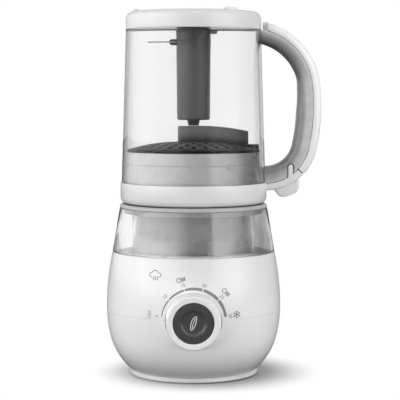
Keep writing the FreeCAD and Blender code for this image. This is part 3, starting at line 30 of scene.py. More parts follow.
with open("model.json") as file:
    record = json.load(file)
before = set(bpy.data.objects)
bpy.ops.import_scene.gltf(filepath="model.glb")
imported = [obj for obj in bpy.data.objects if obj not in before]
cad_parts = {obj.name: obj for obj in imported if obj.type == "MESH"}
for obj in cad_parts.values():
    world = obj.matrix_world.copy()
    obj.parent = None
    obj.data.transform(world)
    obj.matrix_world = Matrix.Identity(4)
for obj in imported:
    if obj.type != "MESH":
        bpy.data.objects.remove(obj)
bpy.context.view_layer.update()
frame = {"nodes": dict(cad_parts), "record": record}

MM = 0.001
BIG_STEPS = 192                 # steps round a large turned piece
SMALL_STEPS = 96                # steps round a small one
TUBE_STEPS = 64
ROD_STEPS = 48
PIN_STEPS = 32
ROUND_STEPS = 6                 # steps of a rounded corner


# Materials

GRAIN_DEPTH, SCRATCH_DEPTH = 0.00004, 0.00003         # metres
NOISE_LOW, NOISE_HIGH = 0.3, 0.7                      # most of a noise lies between these
FIRST_COLOUR, SECOND_COLOUR, MIXED_COLOUR = 6, 7, 2   # sockets of a mix node that blends colours


class Graph:
    """The nodes of a material or world."""

    def __init__(self, owner):
        owner.use_nodes = True
        self.nodes = owner.node_tree.nodes
        self.links = owner.node_tree.links

    def fill(self, node, inputs):
        """Set a node's inputs to values, or link them to the outputs of other nodes."""
        for name, value in dict(inputs).items():
            if isinstance(value, bpy.types.NodeSocket):
                self.links.new(value, node.inputs[name])
            else:
                node.inputs[name].default_value = value

    def add(self, kind, inputs=(), **settings):
        """The outputs of a new node."""
        node = self.nodes.new("ShaderNode" + kind)
        for name, value in settings.items():
            setattr(node, name, value)
        self.fill(node, inputs)
        return node.outputs

    def number(self, operation, first, second):
        return self.add("Math", {0: first, 1: second}, operation=operation)["Value"]


class Look(Graph):
    """A material with one principled shader."""

    def __init__(self, name):
        self.material = bpy.data.materials.new(name)
        super().__init__(self.material)
        self.shader = self.nodes["Principled BSDF"]

    def shade(self, inputs):
        self.fill(self.shader, inputs)
        return self


def surface_noise(graph, scale, detail=2.0):
    """Noise in the object's own coordinates."""
    place = graph.add("TexCoord")["Object"]
    return graph.add("TexNoise", {"Vector": place, "Scale": scale, "Detail": detail})["Fac"]


def spread(graph, factor, low, high):
    """A noise mapped to a range of values."""
    limits = {"From Min": NOISE_LOW, "From Max": NOISE_HIGH, "To Min": low, "To Max": high}
    return graph.add("MapRange", {"Value": factor, **limits})["Result"]


def eased(graph, value, start, end):
    """A smooth rise from 0 to 1 between two values."""
    limits = {"From Min": start, "From Max": end}
    return graph.add("MapRange", {"Value": value, **limits}, interpolation_type="SMOOTHSTEP")["Result"]


def chosen(graph, factor, first, second):
    """The first value where the factor is 0 and the second where it is 1."""
    return graph.add("Mix", {"Factor": factor, "A": first, "B": second})["Result"]


def multiplied(graph, first, second):
    """Two colours multiplied."""
    inputs = {"Factor": 1.0, FIRST_COLOUR: first, SECOND_COLOUR: second}
    return graph.add("Mix", inputs, data_type="RGBA", blend_type="MULTIPLY")[MIXED_COLOUR]


def colour_ramp(graph, factor):
    """The stops and the colour of a new ramp."""
    node = graph.nodes.new("ShaderNodeValToRGB")
    graph.fill(node, {"Fac": factor})
    return node.color_ramp.elements, node.outputs["Color"]


def tinted(graph, factor, colour, change):
    """A colour that drifts a little darker and lighter over the surface."""
    marks, result = colour_ramp(graph, factor)
    marks[0].position = NOISE_LOW
    marks[1].position = NOISE_HIGH
    marks[0].color = tuple(part * (1 - change) for part in colour) + (1,)
    marks[1].color = tuple(min(1, part * (1 + change)) for part in colour) + (1,)
    return result


def ramped(graph, value, stops, unit=MM, most=1.0):
    """A grey that follows pairs of a coordinate and a brightness, as a share of the most."""
    first, last = stops[0][0], stops[-1][0]
    limits = {"From Min": first * unit, "From Max": last * unit}
    marks, result = colour_ramp(graph, graph.add("MapRange", {"Value": value, **limits})["Result"])
    marks.remove(marks[1])
    for place, brightness in stops:
        mark = marks[0] if place == first else marks.new((place - first) / (last - first))
        mark.color = (brightness / most,) * 3 + (1,)
    return result


def bumped(graph, height, strength, distance):
    return graph.add("Bump", {"Height": height, "Strength": strength, "Distance": distance})["Normal"]


def moulded(name, colour, roughness, change=0.012, grain=2600, strength=0.05, coat=0.0, coat_roughness=0.2,
            mirror=0.5):
    """Moulded plastic: a fine grain, cloudy gloss and a faint drift of colour."""
    look = Look(name)
    gloss = surface_noise(look, 140, 4.0)
    return look.shade({
        "Base Color": tinted(look, surface_noise(look, 22), colour, change),
        "Roughness": spread(look, gloss, roughness * 0.88, roughness * 1.12),
        "IOR": 1.5,
        "Specular IOR Level": mirror,
        "Coat Weight": coat,
        "Coat Roughness": coat_roughness,
        "Normal": bumped(look, surface_noise(look, grain, 3.0), strength, GRAIN_DEPTH),
    })


def clear(name, colour, roughness, mirror=1.0, rim=1.0, bend=1.5):
    """Clear moulded plastic with a slightly uneven polish, and painted shade that deepens its colour where it
    is seen edge on.
    """
    look = Look(name)
    edge = eased(look, look.add("LayerWeight")["Facing"], 0.6, 1.0)
    drift = tinted(look, surface_noise(look, 30), colour, 0.006)
    gloss = surface_noise(look, 60, 3.0)
    return look.shade({
        "Base Color": multiplied(look, drift, spread(look, edge, 1.0, rim)),
        "Roughness": spread(look, gloss, roughness * 0.7, roughness * 1.3),
        "IOR": bend,
        "Specular Tint": (mirror, mirror, mirror, 1),
        "Transmission Weight": 1.0,
    })


def metal(name, colour, roughness, stretch):
    """Brushed metal: fine scratches along one direction."""
    look = Look(name)
    along = look.add("Mapping", {"Vector": look.add("TexCoord")["Object"], "Scale": stretch})["Vector"]
    scratches = look.add("TexNoise", {"Vector": along, "Scale": 260, "Detail": 4})["Fac"]
    return look.shade({
        "Base Color": tinted(look, scratches, colour, 0.06),
        "Roughness": spread(look, scratches, roughness * 0.7, roughness * 1.3),
        "Metallic": 1.0,
        "Normal": bumped(look, scratches, 0.08, SCRATCH_DEPTH),
    })


def deepened(look, shade):
    """Multiply the colour of a look by a painted shade."""
    plain = look.shader.inputs["Base Color"].links[0].from_socket
    return look.shade({"Base Color": multiplied(look, plain, shade)})


def shaded_along(look, axis, stops):
    """Deepen a colour along one axis: painted light and shade."""
    place = look.add("SeparateXYZ", {"Vector": look.add("TexCoord")["Object"]})
    return deepened(look, ramped(look, place[axis], stops))


def shaded_hollows(look, reach):
    """Darken a plastic in holes and corners narrower than a distance: painted shade."""
    hollow = look.add("AmbientOcclusion", {"Distance": reach * MM})["AO"]
    return deepened(look, look.add("Gamma", {"Color": hollow, "Gamma": 3.0})["Color"])


EVEN = (1.0, 1.0, 1.0)
BRUSHED = (1.0, 14.0, 14.0)
WOUND = (1.0, 1.0, 30.0)
WHITE = (0.95, 0.95, 0.945)
SATIN = {"coat": 0.9, "coat_roughness": 0.24}
GLOSSY = {"coat": 0.9, "coat_roughness": 0.18}
# Painted light and shade along one axis: millimetres and brightness
# Tank and sleeve: painted shade, darker towards the right side.
TANK_SHADE_ACROSS = ((-75, 1.0), (48, 1.0), (56, 0.55), (62, 0.6), (67, 0.95))
# Housing, dial and dial seat: painted light and shade, whiter than the other white mouldings round the belly
# and darker towards the bottom and the top.
HOUSING_SHADE_UPWARD = ((4, 0.68), (12, 0.78), (22, 0.92), (35, 1.0), (62, 0.97), (80, 0.91), (106, 0.85))
# Strainer: painted shade, darker towards the handle side.
STRAINER_SHADE_ACROSS = ((-60, 1.0), (20, 1.0), (46, 0.45), (60, 0.3))
# Collar and its bump: painted reflection and shade, lighter on the left and dark towards the handle side.
COLLAR_REFLECTION_ACROSS = ((-50, 0.83), (-30, 0.72), (15, 0.68), (36, 0.52), (50, 0.18))
# Lid ring, handle cover and push rod: painted light, lighter from 58 mm out towards the handle.
LID_LIGHT_ACROSS = ((-70, 0.84), (58, 0.84), (70, 1.0), (110, 1.0))
LOOKS = {
    "white_plastic": moulded("white_moulding", (0.80, 0.80, 0.795), 0.38, **SATIN),
    "grey_plastic": moulded("grey_moulding", (0.58, 0.58, 0.58), 0.28, **GLOSSY),
    "pale_plastic": moulded("pale_moulding", (0.62, 0.62, 0.615), 0.30),
    "dark_plastic": moulded("dark_moulding", (0.082, 0.082, 0.084), 0.36, 0.05, strength=0.12, mirror=0.6),
    # Jar: painted shade deepens the clear plastic where it is seen edge on.
    "clear_plastic": clear("clear_moulding", (0.92, 0.92, 0.92), 0.02, mirror=0.2, rim=0.42),
    "smoke_plastic": moulded("smoke_moulding", (0.40, 0.40, 0.40), 0.32, coat=0.4, coat_roughness=0.15),
    "steel": metal("brushed_steel", (0.62, 0.62, 0.63), 0.24, BRUSHED),
    "aluminium": metal("cast_aluminium", (0.68, 0.69, 0.70), 0.38, EVEN),
    "rubber": moulded("foot_rubber", (0.03, 0.03, 0.03), 0.75, 0.08, grain=1500, strength=0.25),
    "silicone": moulded("seal_silicone", (0.60, 0.60, 0.59), 0.55, 0.03, grain=1200, strength=0.1),
    "copper": metal("wound_copper", (0.66, 0.33, 0.18), 0.32, WOUND),
    "carbon": moulded("brush_carbon", (0.02, 0.02, 0.02), 0.6, 0.1, strength=0.3),
    "magnet": moulded("sintered_magnet", (0.07, 0.07, 0.075), 0.55, 0.1, strength=0.3),
    "board": moulded("board_coating", (0.02, 0.11, 0.04), 0.35, 0.06),
    "bronze": metal("sintered_bronze", (0.50, 0.34, 0.16), 0.4, EVEN),
}
PRINT = moulded("grey_print", (0.24, 0.24, 0.24), 0.5, 0.05)
DARK_PRINT = moulded("dark_print", (0.12, 0.12, 0.12), 0.5, 0.05)
WHITE_PRINT = moulded("white_print", (0.85, 0.85, 0.85), 0.5, 0.02)
STRAINER_PLASTIC = moulded("strainer_moulding", (0.15, 0.15, 0.152), 0.5, 0.05, strength=0.12, mirror=0.25)
# Strainer: painted shade in its sieve holes, under the hood and in corners, and darker towards the handle
# side.
STRAINER_LOOK = shaded_along(shaded_hollows(STRAINER_PLASTIC, 8), "X", STRAINER_SHADE_ACROSS)
# Collar: painted reflection and shade across it.
COLLAR_LOOK = shaded_along(moulded("collar_moulding", (0.90, 0.90, 0.90), 0.28, **GLOSSY), "X", COLLAR_REFLECTION_ACROSS)
TANK_PLASTIC = clear("tank_moulding", (0.95, 0.95, 0.95), 0.03, mirror=3.0, bend=1.25)
# Tank: painted shade across it, darker on the right.
TANK_LOOK = shaded_along(TANK_PLASTIC, "X", TANK_SHADE_ACROSS)
# Housing: painted light and shade by height.
HOUSING_LOOK = shaded_along(moulded("housing_moulding", WHITE, 0.38, **SATIN), "Z", HOUSING_SHADE_UPWARD)
# Deck: painted shade in narrow gaps and corners, such as the line under the lid ring.
DECK_LOOK = shaded_hollows(moulded("deck_moulding", (0.46, 0.46, 0.46), 0.24, coat=0.2), 2)
FROSTED_LOOK = moulded("frosted_floor", (0.70, 0.70, 0.70), 0.35)
INNER_LOOK = moulded("inner_moulding", (0.28, 0.28, 0.28), 0.28, **GLOSSY)
# Lid: painted light on its handle side.
LID_LOOK = shaded_along(moulded("lid_moulding", WHITE, 0.38, **SATIN), "X", LID_LIGHT_ACROSS)
# Blades: painted reflection, a darker steel than the rest that stands in for the dark the blades mirror.
BLADE_LOOK = metal("blade_steel", (0.20, 0.20, 0.21), 0.36, BRUSHED)
BUTTON_LOOK = moulded("button_moulding", (0.060, 0.060, 0.062), 0.36, 0.05, strength=0.08)


# Outlines


def limited(share):
    """A share kept between 0 and 1."""
    return min(max(share, 0), 1)


def polar(radius, degrees):
    angle = math.radians(degrees)
    return Vector((radius * math.cos(angle), radius * math.sin(angle)))


class Bow:
    """Makes the stretch to the next corner an arc that turns left (1) or right (-1)."""

    def __init__(self, radius, side, steps=24):
        self.radius = radius
        self.side = side
        self.steps = steps


def arc_points(centre, radius, begin, turn, shares):
    """Points at shares of a turn round a centre."""
    angles = [begin + turn * share for share in shares]
    return [centre + radius * Vector((math.cos(angle), math.sin(angle))) for angle in angles]


def bow_points(start, end, bow):
    """Points strictly between the ends of an arc."""
    chord = end - start
    height = math.sqrt(max(bow.radius ** 2 - (chord.length / 2) ** 2, 0))
    left = Vector((-chord.y, chord.x)).normalized()
    centre = (start + end) / 2 + left * height * bow.side
    begin = math.atan2(start.y - centre.y, start.x - centre.x)
    finish = math.atan2(end.y - centre.y, end.x - centre.x)
    if bow.side > 0 and finish < begin:
        finish += 2 * math.pi
    if bow.side < 0 and finish > begin:
        finish -= 2 * math.pi
    shares = [step / bow.steps for step in range(1, bow.steps)]
    return arc_points(centre, bow.radius, begin, finish - begin, shares)


def round_points(before, here, after, radius):
    """The arc that rounds a corner between two straight stretches."""
    back = (before - here).normalized()
    ahead = (after - here).normalized()
    half = back.angle(ahead) / 2
    centre = here + (back + ahead).normalized() * (radius / math.sin(half))
    first = here + back * (radius / math.tan(half))
    last = here + ahead * (radius / math.tan(half))
    begin = math.atan2(first.y - centre.y, first.x - centre.x)
    turn = math.atan2(last.y - centre.y, last.x - centre.x) - begin
    turn = (turn + math.pi) % (2 * math.pi) - math.pi
    shares = [step / ROUND_STEPS for step in range(ROUND_STEPS + 1)]
    return arc_points(centre, radius, begin, turn, shares)


def trace(outline):
    """The points of a closed outline of corners (with a third number for rounding) and bows."""
    corners = []
    bows = {}
    for item in outline:
        if isinstance(item, Bow):
            bows[len(corners) - 1] = item
        else:
            corners.append(item)
    points = []
    for index, corner in enumerate(corners):
        here = Vector(corner[:2])
        after = Vector(corners[(index + 1) % len(corners)][:2])
        if len(corner) > 2 and corner[2] > 0:
            before = Vector(corners[index - 1][:2])
            points.extend(round_points(before, here, after, corner[2]))
        else:
            points.append(here)
        if index in bows:
            points.extend(bow_points(here, after, bows[index]))
    return points


def oblong(left, right, front, back, radius=0):
    """A rectangle with all its corners rounded alike."""
    return trace([(left, front, radius), (right, front, radius), (right, back, radius), (left, back, radius)])


# Meshes


def linked(name, data):
    """A new object in the scene."""
    thing = bpy.data.objects.new(name, data)
    bpy.context.scene.collection.objects.link(thing)
    return thing


# Turns a plan up to face the front
STANDING = Matrix(((1, 0, 0, 0), (0, 0, -1, 0), (0, 1, 0, 0), (0, 0, 0, 1)))


def lathe(outline, steps=BIG_STEPS):
    """A closed mesh turned about Z from corners of radius and height."""
    bm = bmesh.new()
    rings = []
    for radius, height in trace(outline):
        if radius < 1e-6:
            rings.append([bm.verts.new((0, 0, height))])
            continue
        ring = []
        for step in range(steps):
            angle = 2 * math.pi * step / steps
            ring.append(bm.verts.new((radius * math.cos(angle), radius * math.sin(angle), height)))
        rings.append(ring)
    for index, ring in enumerate(rings):
        join_rings(bm, rings[index - 1], ring)
    bmesh.ops.recalc_face_normals(bm, faces=bm.faces)
    return bm


def tube(inner, outer, low, high, steps=BIG_STEPS, rounds=(0, 0, 0, 0)):
    """A turned ring, with the rounding of its corners from the lower inner one outwards and up."""
    corners = ((inner, low), (outer, low), (outer, high), (inner, high))
    return lathe([corner + (radius,) for corner, radius in zip(corners, rounds)], steps)


def join_rings(bm, first, second):
    """Faces between two rings, either of which may be one point on the axis."""
    if len(first) == 1 and len(second) == 1:
        return
    steps = max(len(first), len(second))
    for step in range(steps):
        following = (step + 1) % steps
        corners = [first[step % len(first)], first[following % len(first)],
                   second[following % len(second)], second[step % len(second)]]
        bm.faces.new(list(dict.fromkeys(corners)))


def skinned(bm, rings, closed=False):
    """A mesh over a row of rings, with its ends capped unless the row closes on itself."""
    pairs = list(zip(rings, rings[1:]))
    if closed:
        pairs.append((rings[-1], rings[0]))
    for first, second in pairs:
        join_rings(bm, first, second)
    if not closed:
        bm.faces.new(rings[0])
        bm.faces.new(list(reversed(rings[-1])))
    bmesh.ops.recalc_face_normals(bm, faces=bm.faces)
    return bm


def placed(bm, matrix):
    bmesh.ops.transform(bm, matrix=matrix, verts=bm.verts)
    return bm


def moved(bm, x=0, y=0, z=0, degrees=0):
    """A mesh turned about Z and then moved."""
    return placed(bm, Matrix.Translation((x, y, z)) @ Matrix.Rotation(math.radians(degrees), 4, "Z"))


def lathe_lying(outline, height, steps=SMALL_STEPS):
    """A mesh turned about a level line at a height, from corners of radius and distance along +Y."""
    turn = Matrix.Rotation(math.radians(-90), 4, "X")
    return placed(lathe(outline, steps), Matrix.Translation((0, 0, height)) @ turn)


def prism(points, low, high, bevel=0.0, bevel_steps=4):
    """An upright closed mesh over a plan outline, with its upper and lower edges bevelled."""
    bm = bmesh.new()
    bottom = [bm.verts.new((point[0], point[1], low)) for point in points]
    top = [bm.verts.new((point[0], point[1], high)) for point in points]
    floor = bm.faces.new(list(reversed(bottom)))
    roof = bm.faces.new(top)
    join_rings(bm, bottom, top)
    bmesh.ops.recalc_face_normals(bm, faces=bm.faces)
    if bevel > 0:
        edges = list(floor.edges) + list(roof.edges)
        bmesh.ops.bevel(bm, geom=edges, offset=bevel, segments=bevel_steps, profile=0.5,
                        affect="EDGES", clamp_overlap=True)
    return bm


def side_prism(points, depth, bevel=0.0):
    """A closed mesh over an outline in the handle's plane, half of its depth on each side."""
    return placed(prism(points, -depth / 2, depth / 2, bevel), STANDING)


def joined(pieces):
    """Several meshes as one, without cutting them."""
    bm = pieces[0]
    for other in pieces[1:]:
        mesh = bpy.data.meshes.new("joined")
        other.to_mesh(mesh)
        bm.from_mesh(mesh)
        other.free()
        bpy.data.meshes.remove(mesh)
    return bm


def boolean(base, tool, operation):
    """The first mesh cut by, joined to or kept inside the second."""
    objects = []
    for bm in (base, tool):
        mesh = bpy.data.meshes.new("boolean")
        bm.to_mesh(mesh)
        bm.free()
        objects.append(linked("boolean", mesh))
    modifier = objects[0].modifiers.new("boolean", "BOOLEAN")
    modifier.operation = operation
    modifier.solver = "EXACT"
    modifier.object = objects[1]
    done = objects[0].evaluated_get(bpy.context.evaluated_depsgraph_get())
    result = bmesh.new()
    result.from_mesh(done.to_mesh())
    done.to_mesh_clear()
    for thing in objects:
        mesh = thing.data
        bpy.data.objects.remove(thing)
        bpy.data.meshes.remove(mesh)
    bmesh.ops.dissolve_degenerate(result, edges=result.edges, dist=1e-5)
    return result


def cut(bm, *tools):
    for tool in tools:
        bm = boolean(bm, tool, "DIFFERENCE")
    return bm


def fused(bm, *others):
    for other in others:
        bm = boolean(bm, other, "UNION")
    return bm


def piece(name, bm, body, slot, replaces=(), look=None, sharp=38):
    """A finished object in metres that moves with a body and stands for CAD nodes."""
    bmesh.ops.scale(bm, vec=(MM, MM, MM), verts=bm.verts)
    mesh = bpy.data.meshes.new(name)
    bm.to_mesh(mesh)
    bm.free()
    mesh.shade_smooth()
    mesh.set_sharp_from_angle(angle=math.radians(sharp))
    mesh.materials.append((look or LOOKS[slot]).material)
    thing = linked(name, mesh)
    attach(thing, body)
    if replaces:
        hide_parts(*replaces)
    return thing


# Base

DIAL_HEIGHT = 56.0
FOOT_HEIGHT = 1.0
PLATE_TOP = 4.7
FOOT_RADIUS = 54.8
SHOULDER = 30.5
BELLY_RADIUS = 75.0
BELLY_HEIGHT = 58.0
HOUSING_TOP = 106.0
LOWER_BEND = 104.0
UPPER_BEND = 220.0
FOOT_BEND = 52.4
PARTING = 56.0
GROOVE = 0.1
WALL = 2.6
FOOT_BORE = 51.0
DIAL_HOLE = 23.55
OUTLET_HEIGHT = 18
OUTLET_RADIUS = 6.0
SCREW_PLACES = [polar(42, degrees) for degrees in (45, 135, 225, 315)]


def skin(bend, height, inset=0.0):
    """Radius of the housing's skin at a height on one of its bends."""
    reach = bend - inset
    return BELLY_RADIUS - bend + math.sqrt(reach ** 2 - (height - BELLY_HEIGHT) ** 2)


def housing_radius(height):
    return skin(UPPER_BEND if height > BELLY_HEIGHT else LOWER_BEND, height)


def lying_bar(radius, start, end, height):
    return lathe_lying([(0, start), (radius, start), (radius, end), (0, end)], height)


def dial_hole():
    """The round hole for the dial in the housings."""
    return lying_bar(DIAL_HOLE, -90, -56, DIAL_HEIGHT)


def make_housings():
    low_top = PARTING - GROOVE / 2
    lower = lathe([
        (FOOT_RADIUS, PLATE_TOP),
        Bow(FOOT_BEND, 1),
        (skin(LOWER_BEND, SHOULDER), SHOULDER),
        Bow(LOWER_BEND, 1),
        (skin(LOWER_BEND, low_top), low_top, 0.12),
        (skin(LOWER_BEND, low_top, WALL), low_top),
        Bow(LOWER_BEND - WALL, -1, 12),
        (skin(LOWER_BEND, SHOULDER, WALL), SHOULDER),
        Bow(FOOT_BEND - WALL, -1, 12),
        (FOOT_BORE, PLATE_TOP),
    ])
    lower = cut(lower, dial_hole(), lying_bar(OUTLET_RADIUS, 50, 80, OUTLET_HEIGHT))
    piece("lower_shell", lower, "base", "white_plastic", ["lower_housing"], HOUSING_LOOK)
    up_bottom = PARTING + GROOVE / 2
    upper = lathe([
        (skin(LOWER_BEND, up_bottom), up_bottom, 0.12),
        (BELLY_RADIUS, BELLY_HEIGHT),
        Bow(UPPER_BEND, 1, 40),
        (skin(UPPER_BEND, HOUSING_TOP), HOUSING_TOP),
        (24, HOUSING_TOP),
        (24, HOUSING_TOP - 3),
        (skin(UPPER_BEND, HOUSING_TOP - 3, WALL), HOUSING_TOP - 3),
        Bow(UPPER_BEND - WALL, -1, 20),
        (BELLY_RADIUS - WALL, BELLY_HEIGHT),
        (skin(LOWER_BEND, up_bottom, WALL), up_bottom),
    ])
    towers = [moved(tube(1.5, 4.5, 4, 103.5, PIN_STEPS), *place) for place in SCREW_PLACES]
    upper = joined([cut(upper, dial_hole())] + towers)
    piece("upper_shell", upper, "base", "white_plastic", ["upper_housing"], HOUSING_LOOK)


def screw():
    """A screw with a cross in its head."""
    head = lathe([(0, 1), (2.8, 1, 0.5), (2.8, 3), (1.5, 3), (1.5, 13), (0, 13)], PIN_STEPS)
    bar = oblong(-1.7, 1.7, -0.35, 0.35)
    return cut(head, *[moved(prism(bar, 0.5, 2.0), degrees=turn) for turn in (0, 90)])


def make_plate():
    plate = lathe([
        (0, FOOT_HEIGHT),
        (56, FOOT_HEIGHT, 0.5),
        (FOOT_RADIUS + 0.2, PLATE_TOP - 0.15, 0.4),
        (50.7, PLATE_TOP - 0.15),
        (50.7, 8, 0.4),
        (48.2, 8, 0.4),
        (48.2, 4),
        (0, 4),
    ])
    posts = [moved(tube(0, 2, 3, 40, PIN_STEPS), x, 40.52) for x in (-16.04, 16.04)]
    sink = [(0, 0), (3.1, 0), (3.1, 3), (1.6, 3), (1.6, 6), (0, 6)]
    holes = [moved(lathe(sink, PIN_STEPS), *place) for place in SCREW_PLACES]
    piece("floor_plate", joined([cut(plate, joined(holes))] + posts), "base", "pale_plastic", ["base_plate"])
    feet = []
    for x, y in ((46, 0), (0, 46), (-46, 0), (0, -46), (0, 0)):
        feet.append(moved(tube(0, 6, 0, FOOT_HEIGHT, ROD_STEPS, (0, 0.4, 0, 0)), x, y))
    piece("foot_pads", joined(feet), "base", "rubber", ["rubber_feet"])
    screws = [moved(screw(), *place) for place in SCREW_PLACES]
    piece("plate_screws", joined(screws), "base", "steel", ["base_screws"])


def make_gland():
    """Ribbed cord outlet at the back, without its cord."""
    wide, deep, bore = OUTLET_RADIUS, 5.3, 3.2
    outline = [(bore, 58), (wide, 58)]
    for rib in range(3):
        start = 63.6 + rib * 2.6
        outline += [(wide, start, 0.2), (deep, start + 0.4), (deep, start + 1.4), (wide, start + 1.8, 0.2)]
    outline += [(wide, 72, 0.8), (bore, 72, 0.6)]
    piece("cord_outlet", lathe_lying(outline, OUTLET_HEIGHT), "base", "grey_plastic", ["cord_gland"])


# Tank, core and deck

TANK_BOTTOM = HOUSING_TOP + 0.05
TANK_FOOT = skin(UPPER_BEND, HOUSING_TOP)
TANK_TOP_RADIUS = 63.3
TANK_TOP = 143.5
TANK_SEAM = 0.5
SLEEVE = (50.8, 52.8)           # inner and outer radius of the wall round the core
DECK_TOP = 147.0
SEAL_BOTTOM = 141.0
SEAL_RADIUS = 9.0
SHAFT_RADIUS = 4.0
SHAFT_BORE = 4.05
STEAM_X = 38                    # place of the steam's way up


def make_tank():
    wall = lathe([
        (TANK_FOOT - 2.7, TANK_BOTTOM + TANK_SEAM, 0.3),
        (TANK_FOOT, TANK_BOTTOM + TANK_SEAM, 0.3),
        (TANK_TOP_RADIUS, TANK_TOP, 0.6),
        (TANK_TOP_RADIUS - 2.4, TANK_TOP, 0.4),
    ])
    piece("tank_shell", wall, "base", "clear_plastic", ["water_tank"], TANK_LOOK)
    sleeve = tube(*SLEEVE, TANK_BOTTOM, TANK_TOP, rounds=(0.3, 0.3, 0.3, 0.3))
    piece("tank_sleeve", sleeve, "base", "clear_plastic", look=TANK_LOOK)
    floor = tube(SLEEVE[1] + 0.05, TANK_FOOT - 2.75, TANK_BOTTOM, TANK_BOTTOM + 1.15, rounds=(0, 0, 0.3, 0.3))
    piece("tank_floor", floor, "base", "clear_plastic", look=FROSTED_LOOK)
    core = tube(49, SLEEVE[0] - 0.2, TANK_BOTTOM, TANK_TOP)
    piece("core_shell", core, "base", "grey_plastic", ["core_housing"], INNER_LOOK)


def make_deck():
    deck = lathe([
        (SEAL_RADIUS, SEAL_BOTTOM, 0.3),
        (13, SEAL_BOTTOM, 0.3),
        (13, TANK_TOP + 0.02),
        (TANK_TOP_RADIUS, TANK_TOP + 0.02, 0.3),
        (TANK_TOP_RADIUS, DECK_TOP, 2.6),
        (SEAL_RADIUS, DECK_TOP, 0.4),
    ])
    slot = prism(oblong(-13, 13, 54, 60), 138, 150)
    port = moved(tube(0, 7.5, 140, 150, TUBE_STEPS), STEAM_X)
    piece("deck_plate", cut(deck, slot.copy(), port), "base", "pale_plastic", ["deck"], DECK_LOOK)
    skirt = tube(58.3, 60.7, 138.9, TANK_TOP, rounds=(0.4, 0.4, 0, 0))
    piece("deck_skirt", cut(skirt, slot), "base", "pale_plastic", look=INNER_LOOK)
    lip = [
        (SHAFT_BORE, SEAL_BOTTOM), (SEAL_RADIUS, SEAL_BOTTOM), (SEAL_RADIUS, DECK_TOP, 0.5),
        (6.5, DECK_TOP - 0.8, 0.4), (SHAFT_BORE, DECK_TOP, 0.3),
    ]
    piece("deck_seal", lathe(lip, SMALL_STEPS), "base", "silicone", ["shaft_seal"])
    nozzle = lathe([
        (4.2, 141.9), (9.1, 141.9, 0.3), (9.1, TANK_TOP), (7.5, TANK_TOP), (7.5, DECK_TOP, 0.6),
        (4.2, DECK_TOP, 0.8),
    ], TUBE_STEPS)
    piece("port_nozzle", moved(nozzle, STEAM_X), "base", "silicone", ["steam_nozzle"])


def drive_half(bottom, top, slot_depth):
    """A toothed drive half with slots across its upper end."""
    ring = tube(SHAFT_RADIUS, 12, bottom, top, SMALL_STEPS, (0, 0.5, 0.8, 0.4))
    for degrees in (0, 90, 180, 270):
        slot = prism(oblong(6, 13, -2, 2), top - slot_depth, top + 1)
        ring = cut(ring, moved(slot, degrees=degrees))
    return ring


def make_drive():
    piece("drive_teeth", drive_half(148, 157, 4), "rotor", "dark_plastic", ["drive_coupling"])
    shaft = tube(0, SHAFT_RADIUS, 18, 156, ROD_STEPS, (0, 0.5, 0.6, 0))
    piece("drive_shaft", shaft, "rotor", "steel", ["motor_shaft"])


# Dial and button

DIAL_FRONT, DIAL_BACK = -88.0, -68.0
DIAL_BORE = 16.9                # opening for the button
GUIDE_BORE = 14.35
BUTTON_RADIUS = 16.5
BUTTON_FRONT = -87.0
DISH_RADIUS = 10.6
DISH_DEPTH = 1.3
POINTER_ANGLE = 177.6
POINTER_RADIUS = 22.47


def make_dial():
    dial = lathe_lying([
        (DIAL_BORE, DIAL_FRONT, 0.5),
        (22.2, DIAL_FRONT, 1.6),
        (23.2, DIAL_BACK, 0.3),
        (20.2, DIAL_BACK),
        (19.2, -85),
        (18.4, -85),
        (18.4, DIAL_BACK),
        (GUIDE_BORE, DIAL_BACK),
        (GUIDE_BORE, -79.5),
        (DIAL_BORE, -79.5),
    ], DIAL_HEIGHT, BIG_STEPS)
    piece("dial_knob", dial, "dial", "white_plastic", ["dial"], HOUSING_LOOK)
    dot = tube(0, 0.75, 0, 0.12, PIN_STEPS, (0, 0, 0.04, 0))
    pointer = polar(1, POINTER_ANGLE)
    outward = Vector((pointer.x, -0.05, pointer.y))
    turn = Vector((0, 0, 1)).rotation_difference(outward).to_matrix().to_4x4()
    spot = Vector((POINTER_RADIUS * pointer.x, -82.6, DIAL_HEIGHT + POINTER_RADIUS * pointer.y))
    piece("dial_pointer", placed(dot, Matrix.Translation(spot) @ turn), "dial", "grey_plastic", look=PRINT)


def make_dial_seat():
    """A narrow white ring in the gap round the dial, just under the housing's skin."""
    inner, outer, front, back = 23.07, 24.6, -80, -71.3
    ring = lathe_lying([(inner, front), (outer, front), (outer, back), (inner, back)], DIAL_HEIGHT, BIG_STEPS)
    heights = [SHOULDER + step * (HOUSING_TOP - SHOULDER) / 40 for step in range(41)]
    side = [(housing_radius(height) - 0.1, height) for height in heights]
    under_skin = lathe([(0, SHOULDER)] + side + [(0, HOUSING_TOP)])
    piece("dial_seat", boolean(ring, under_skin, "INTERSECT"), "base", "white_plastic", look=HOUSING_LOOK)


def make_button():
    button = lathe_lying([
        (0, BUTTON_FRONT + DISH_DEPTH),
        (DISH_RADIUS - 1.6, BUTTON_FRONT + DISH_DEPTH, 4.0),
        (DISH_RADIUS, BUTTON_FRONT, 0.9),
        (BUTTON_RADIUS, BUTTON_FRONT, 0.9),
        (BUTTON_RADIUS, BUTTON_FRONT + 3.4),
        (0, BUTTON_FRONT + 3.4),
    ], DIAL_HEIGHT)
    piece("button_face", button, "button", "dark_plastic", ["blend_button"], BUTTON_LOOK)


# Jar and cap

JAR_MOUTH = (61.7, 165.3)
JAR_TOP = (57.7, 294.9)
JAR_WALL = 2.6
JAR_FLOOR, JAR_END = 299.0, 302.0   # inner and outer face of its closed end
BUSH_RADIUS = 8.0
BUSH_FOOT = 300.2


def jar_radius(height):
    """Outer radius of the jar's tapered wall."""
    share = (height - JAR_MOUTH[1]) / (JAR_TOP[1] - JAR_MOUTH[1])
    return JAR_MOUTH[0] + (JAR_TOP[0] - JAR_MOUTH[0]) * share


